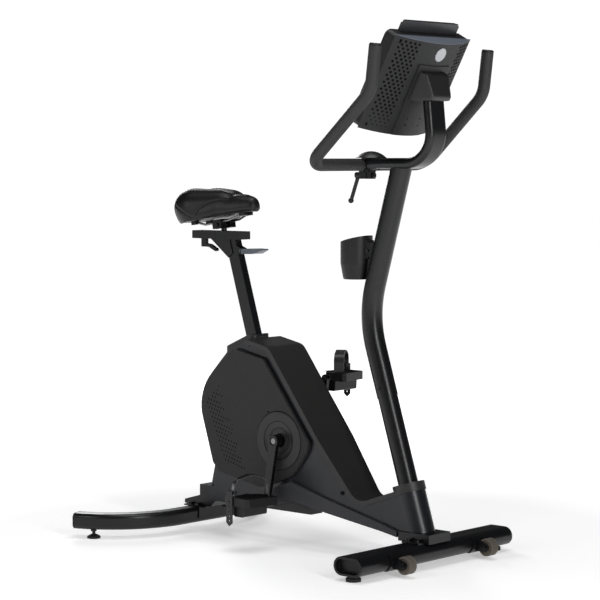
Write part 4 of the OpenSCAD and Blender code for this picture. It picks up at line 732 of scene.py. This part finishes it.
bar_tree = repeat_tree("bars", bar)
for tag in ("right", "left"):
    low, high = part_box("transport_wheel_" + tag)
    hub = (low + high) / 2
    radius = (high.z - low.z) / 2
    rows = []
    for k in range(GROOVES):
        a = math.radians(360 / GROOVES * k)
        out = Vector((math.cos(a), 0, math.sin(a)))
        rows.append((tuple(hub + out * (radius - 0.0002)), tuple(out), (0, 1, 0), 1.0))
    # each groove is a dark bar of painted shade
    grooves = point_piece("tread_groove_shade_" + tag, rows, foot_rubber)
    bake_tree(grooves, bar_tree, Width=GROOVE_W, Length=(high.y - low.y) * GROOVE_SHARE, Height=GROOVE_DEPTH)
    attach(grooves, tag + "_wheel")

# %% [markdown]
# A pedal's tread keeps the shoe from sliding: raised bars run across the platform, a little askew. They are
# moulded with the pedal, so they turn with it.

# %% Pedal treads
TREAD_W, TREAD_H, TREAD_SHARE = 0.0028, 0.0024, 0.74
TREAD_SKEW = 0.16
END_BAR = 0.78  # the bars near both ends are shorter
for tag, side in (("right", -1), ("left", 1)):
    low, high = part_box("pedal_" + tag)
    step_x = (high.x - low.x) / 12
    y_mid = (low.y + high.y) / 2
    rows = []
    for k in range(2, 11):
        place = (low.x + step_x * k, y_mid, high.z)
        rows.append((place, (0, 0, 1), (TREAD_SKEW * side, 1, 0), 1.0 if 3 < k < 9 else END_BAR))
    tread = point_piece("pedal_tread_" + tag, rows, trim_black)
    bake_tree(tread, bar_tree, Width=TREAD_W, Length=(high.y - low.y) * TREAD_SHARE, Height=TREAD_H)
    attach(tread, tag + "_pedal")

# %% [markdown]
# The saddle is a foam pad under stretched vinyl. Its CAD solid is only the space that it fills, so the pad
# is made again: a copy of the solid is remeshed to an even skin, given its centre channel, then blown up as
# cloth with its seams held, so that each panel swells between the seams as sewn vinyl does over foam.

# %% Saddle axes
SADDLE_TILT = math.radians(9.5)
saddle_x = Vector((math.cos(SADDLE_TILT), 0, math.sin(SADDLE_TILT)))
saddle_z = Vector((-math.sin(SADDLE_TILT), 0, math.cos(SADDLE_TILT)))
saddle_at = Vector((-0.30172, 0, 0.933)) - saddle_z * 0.008
to_saddle = Matrix((saddle_x, Vector((0, 1, 0)), saddle_z)).to_4x4() @ Matrix.Translation(-saddle_at)
from_saddle = to_saddle.inverted()
print("saddle tilts by", round(math.degrees(SADDLE_TILT), 1), "degrees")

# %% Even skin
PAD_SKIN = 0.005
pad_mesh = nodes["saddle_pad"].data.copy()
pad_mesh.transform(to_saddle)
pad = bpy.data.objects.new("saddle_cushion", pad_mesh)
scene.collection.objects.link(pad)
bm = bmesh.new()
bm.from_mesh(pad_mesh)
bmesh.ops.remove_doubles(bm, verts=bm.verts, dist=0.00005)
bm.to_mesh(pad_mesh)
bm.free()
skin = pad.modifiers.new("skin", "REMESH")
skin.mode = "VOXEL"
skin.voxel_size = PAD_SKIN
replace_mesh(pad)
print("saddle skin", len(pad.data.vertices), "points")


# %% Shape before the foam swells
def bell(t, width):
    return math.exp(-(t / width) ** 2)


def ramp(t, a, b):
    s = min(1.0, max(0.0, (t - a) / (b - a)))
    return s * s * (3 - 2 * s)


def shell_half(x):
    """Half width of the stiff shell under the foam."""
    return float(np.interp(x, [-0.112, -0.060, 0.020, 0.138], [0.065, 0.088, 0.055, 0.010]))


# the channel on top, the dip behind the nose, then the rim that hangs past the shell
for v in pad.data.vertices:
    p = v.co
    p.x = 0.011 + (p.x - 0.011) * 0.965
    p.y *= 0.955
    p.z = 0.0355 + (p.z - 0.0355) * 0.955
    top = ramp(p.z, 0.075, 0.105)
    channel = ramp(p.x, -0.115, -0.06) * (1 - ramp(p.x, 0.05, 0.085))
    p.z -= 0.011 * channel * top * bell(p.y, 0.019)
    p.z -= 0.006 * bell(p.x - 0.074, 0.016) * ramp(p.z, 0.06, 0.09)
    past_ends = max(ramp(-p.x, 0.110, 0.122), ramp(p.x, 0.128, 0.140))
    outside = max(ramp(abs(p.y) - shell_half(p.x), 0.001, 0.014), past_ends)
    low_part = 1 - ramp(p.z, 0.034, 0.070)
    p.z -= 0.010 * outside * low_part
    fuller = float(np.interp(p.x, [-0.10, -0.04, 0.02, 0.09, 0.14], [0.0, 0.05, 0.20, 0.22, 0.12]))
    p.y *= 1 + fuller * low_part - 0.04 * low_part * ramp(-p.x, 0.03, 0.08)
ease = pad.modifiers.new("ease", "SMOOTH")
ease.factor = 0.5
ease.iterations = 7
replace_mesh(pad)
print("saddle shaped")

# %% Seam lines on the skin
# the flank seams are drawn in X and Z, the top seams in X and Y, all in the saddle's own axes
SEAM_REAR = [(-0.116, 0.112), (-0.098, 0.090), (-0.072, 0.069), (-0.046, 0.049), (-0.030, 0.036)]
SEAM_FRONT = [(0.075, 0.077), (0.040, 0.077), (0.012, 0.072), (-0.008, 0.060), (-0.020, 0.047),
              (-0.025, 0.036)]
SEAM_TOP = [(-0.118, 0.020), (-0.080, 0.026), (-0.030, 0.027), (0.020, 0.023), (0.060, 0.015), (0.085, 0.004)]
RAY_FROM = 0.3


def smooth_line(points, steps=14):
    """A Catmull-Rom line through the points."""
    pts = [Vector(p) for p in points]
    pts = [pts[0] * 2 - pts[1]] + pts + [pts[-1] * 2 - pts[-2]]
    made = []
    for a, b, c, d in zip(pts, pts[1:], pts[2:], pts[3:]):
        for k in range(steps):
            t = k / steps
            square, cube = 2 * a - 5 * b + 4 * c - d, 3 * b - a - 3 * c + d
            made.append(0.5 * ((2 * b) + (c - a) * t + square * t * t + cube * t ** 3))
    return made + [pts[-2]]


def seams_on(piece):
    """Drops the seam lines onto the skin: two on each flank from the side, one on each half of the top."""
    surface = BVHTree.FromObject(piece, bpy.context.evaluated_depsgraph_get())
    lines = []
    for side in (-1, 1):
        inward, down = Vector((0, -side, 0)), Vector((0, 0, -1))
        rays = [[(Vector((q.x, side * RAY_FROM, q.y)), inward) for q in smooth_line(flank)]
                for flank in (SEAM_REAR, SEAM_FRONT)]
        rays.append([(Vector((q.x, side * q.y, RAY_FROM)), down) for q in smooth_line(SEAM_TOP)])
        for line in rays:
            hits = [surface.ray_cast(start, way) for start, way in line]
            lines.append([(h[0], h[1]) for h in hits if h[0] is not None])
    return lines


def seam_search(lines):
    """A search tree over the points of all seams, and the points in its order."""
    points = [q for line in lines for q in line]
    tree = KDTree(len(points))
    for k, (place, facing) in enumerate(points):
        tree.insert(place, k)
    tree.balance()
    return tree, points


lines = seams_on(pad)
print("seam points", [len(line) for line in lines])

# %% Foam swells between the seams
SHELL_TOP = 0.038  # below this height the pad is glued to its shell
SEAM_HALF = 0.0035
PRESSURE = 4.0
LAST_FRAME = 20
CAP = 0.005  # the most that the foam may swell
held = pad.vertex_groups.new(name="held")
seam_tree, seam_points = seam_search(lines)
for v in pad.data.vertices:
    near = seam_tree.find(v.co)[2]
    on_shell = v.co.z < SHELL_TOP and abs(v.co.y) < shell_half(v.co.x)
    weight = 1.0 if on_shell or near < SEAM_HALF else 0.0
    held.add([v.index], weight, "REPLACE")
rest_places = np.array([v.co for v in pad.data.vertices])
cloth = pad.modifiers.new("cloth", "CLOTH")
cloth.settings.use_pressure = True
cloth.settings.uniform_pressure_force = PRESSURE
cloth.settings.effector_weights.gravity = 0.0
cloth.settings.vertex_group_mass = "held"
cloth.settings.tension_stiffness = 20
cloth.settings.compression_stiffness = 20
cloth.settings.bending_stiffness = 0.8
cloth.settings.quality = 6
cloth.collision_settings.use_collision = False
for step in range(1, LAST_FRAME + 1):
    scene.frame_set(step)
replace_mesh(pad)
scene.frame_set(1)
for v, was in zip(pad.data.vertices, rest_places):
    move = v.co - Vector(was)
    if move.length > CAP:
        v.co = Vector(was) + move * (CAP / move.length)
moved = np.array([v.co for v in pad.data.vertices]) - rest_places
furthest = float(np.linalg.norm(moved, axis=1).max())
print("foam moved by up to", round(furthest * 1000, 1), "mm")

# %% Finer skin and sewn grooves
GROOVE_REACH = 0.008
SEAM_DEPTH, SEAM_W = 0.0022, 0.0024
finer = pad.modifiers.new("finer", "SUBSURF")
finer.levels = finer.render_levels = 1
replace_mesh(pad)
pad.data.update()
lines = seams_on(pad)
seam_tree, seam_points = seam_search(lines)
for v in pad.data.vertices:
    place, k, near = seam_tree.find(v.co)
    if near < GROOVE_REACH:
        v.co -= seam_points[k][1] * SEAM_DEPTH * bell(near, SEAM_W)
print("saddle cushion", len(pad.data.polygons), "faces")

# %% [markdown]
# Each seam is held by a row of thread on both sides. A stitch is a tiny rounded bar, set along the seam at
# an even step and pressed into the vinyl, so the same repeating tree sews the whole saddle.

# %% Stitches
STITCH_STEP = 0.0042
STITCH_L, STITCH_W, STITCH_H = 0.0030, 0.0008, 0.0007
STITCH_ASIDE, STITCH_PROUD = 0.0034, 0.0001


def thread(tree, given):
    """A bar with its corners rounded off."""
    soft = tree.nodes.new("GeometryNodeSubdivisionSurface")
    link(tree, bar(tree, given), soft.inputs["Mesh"])
    return soft.outputs["Mesh"]


stitch_tree = repeat_tree("stitches", thread)
stitch_rows = []
surface = BVHTree.FromObject(pad, bpy.context.evaluated_depsgraph_get())
turn_back = from_saddle.to_3x3()
for line in lines:
    walked = 0.0
    for (a, _), (b, facing) in zip(line, line[1:]):
        walked += (b - a).length
        if walked < STITCH_STEP or (b - a).length < 1e-6:
            continue
        walked -= STITCH_STEP
        along = (b - a).normalized()
        across = along.cross(facing).normalized()
        for s in (-1, 1):
            hit = surface.find_nearest(b + across * s * STITCH_ASIDE)
            place = from_saddle @ (hit[0] + hit[1] * STITCH_PROUD)
            stitch_rows.append((tuple(place), tuple(turn_back @ hit[1]), tuple(turn_back @ along), 1.0))
thread_finish = finish("thread", (0.0200, 0.0200, 0.0210), 0.6, grain=0.4)
pad.data.transform(from_saddle)
shade_soft(pad, vinyl)
stitches = point_piece("saddle_stitches", stitch_rows, thread_finish)
bake_tree(stitches, stitch_tree, Width=STITCH_W, Length=STITCH_L, Height=STITCH_H)
for piece in (pad, stitches):
    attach(piece, "saddle")
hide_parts("saddle_pad")
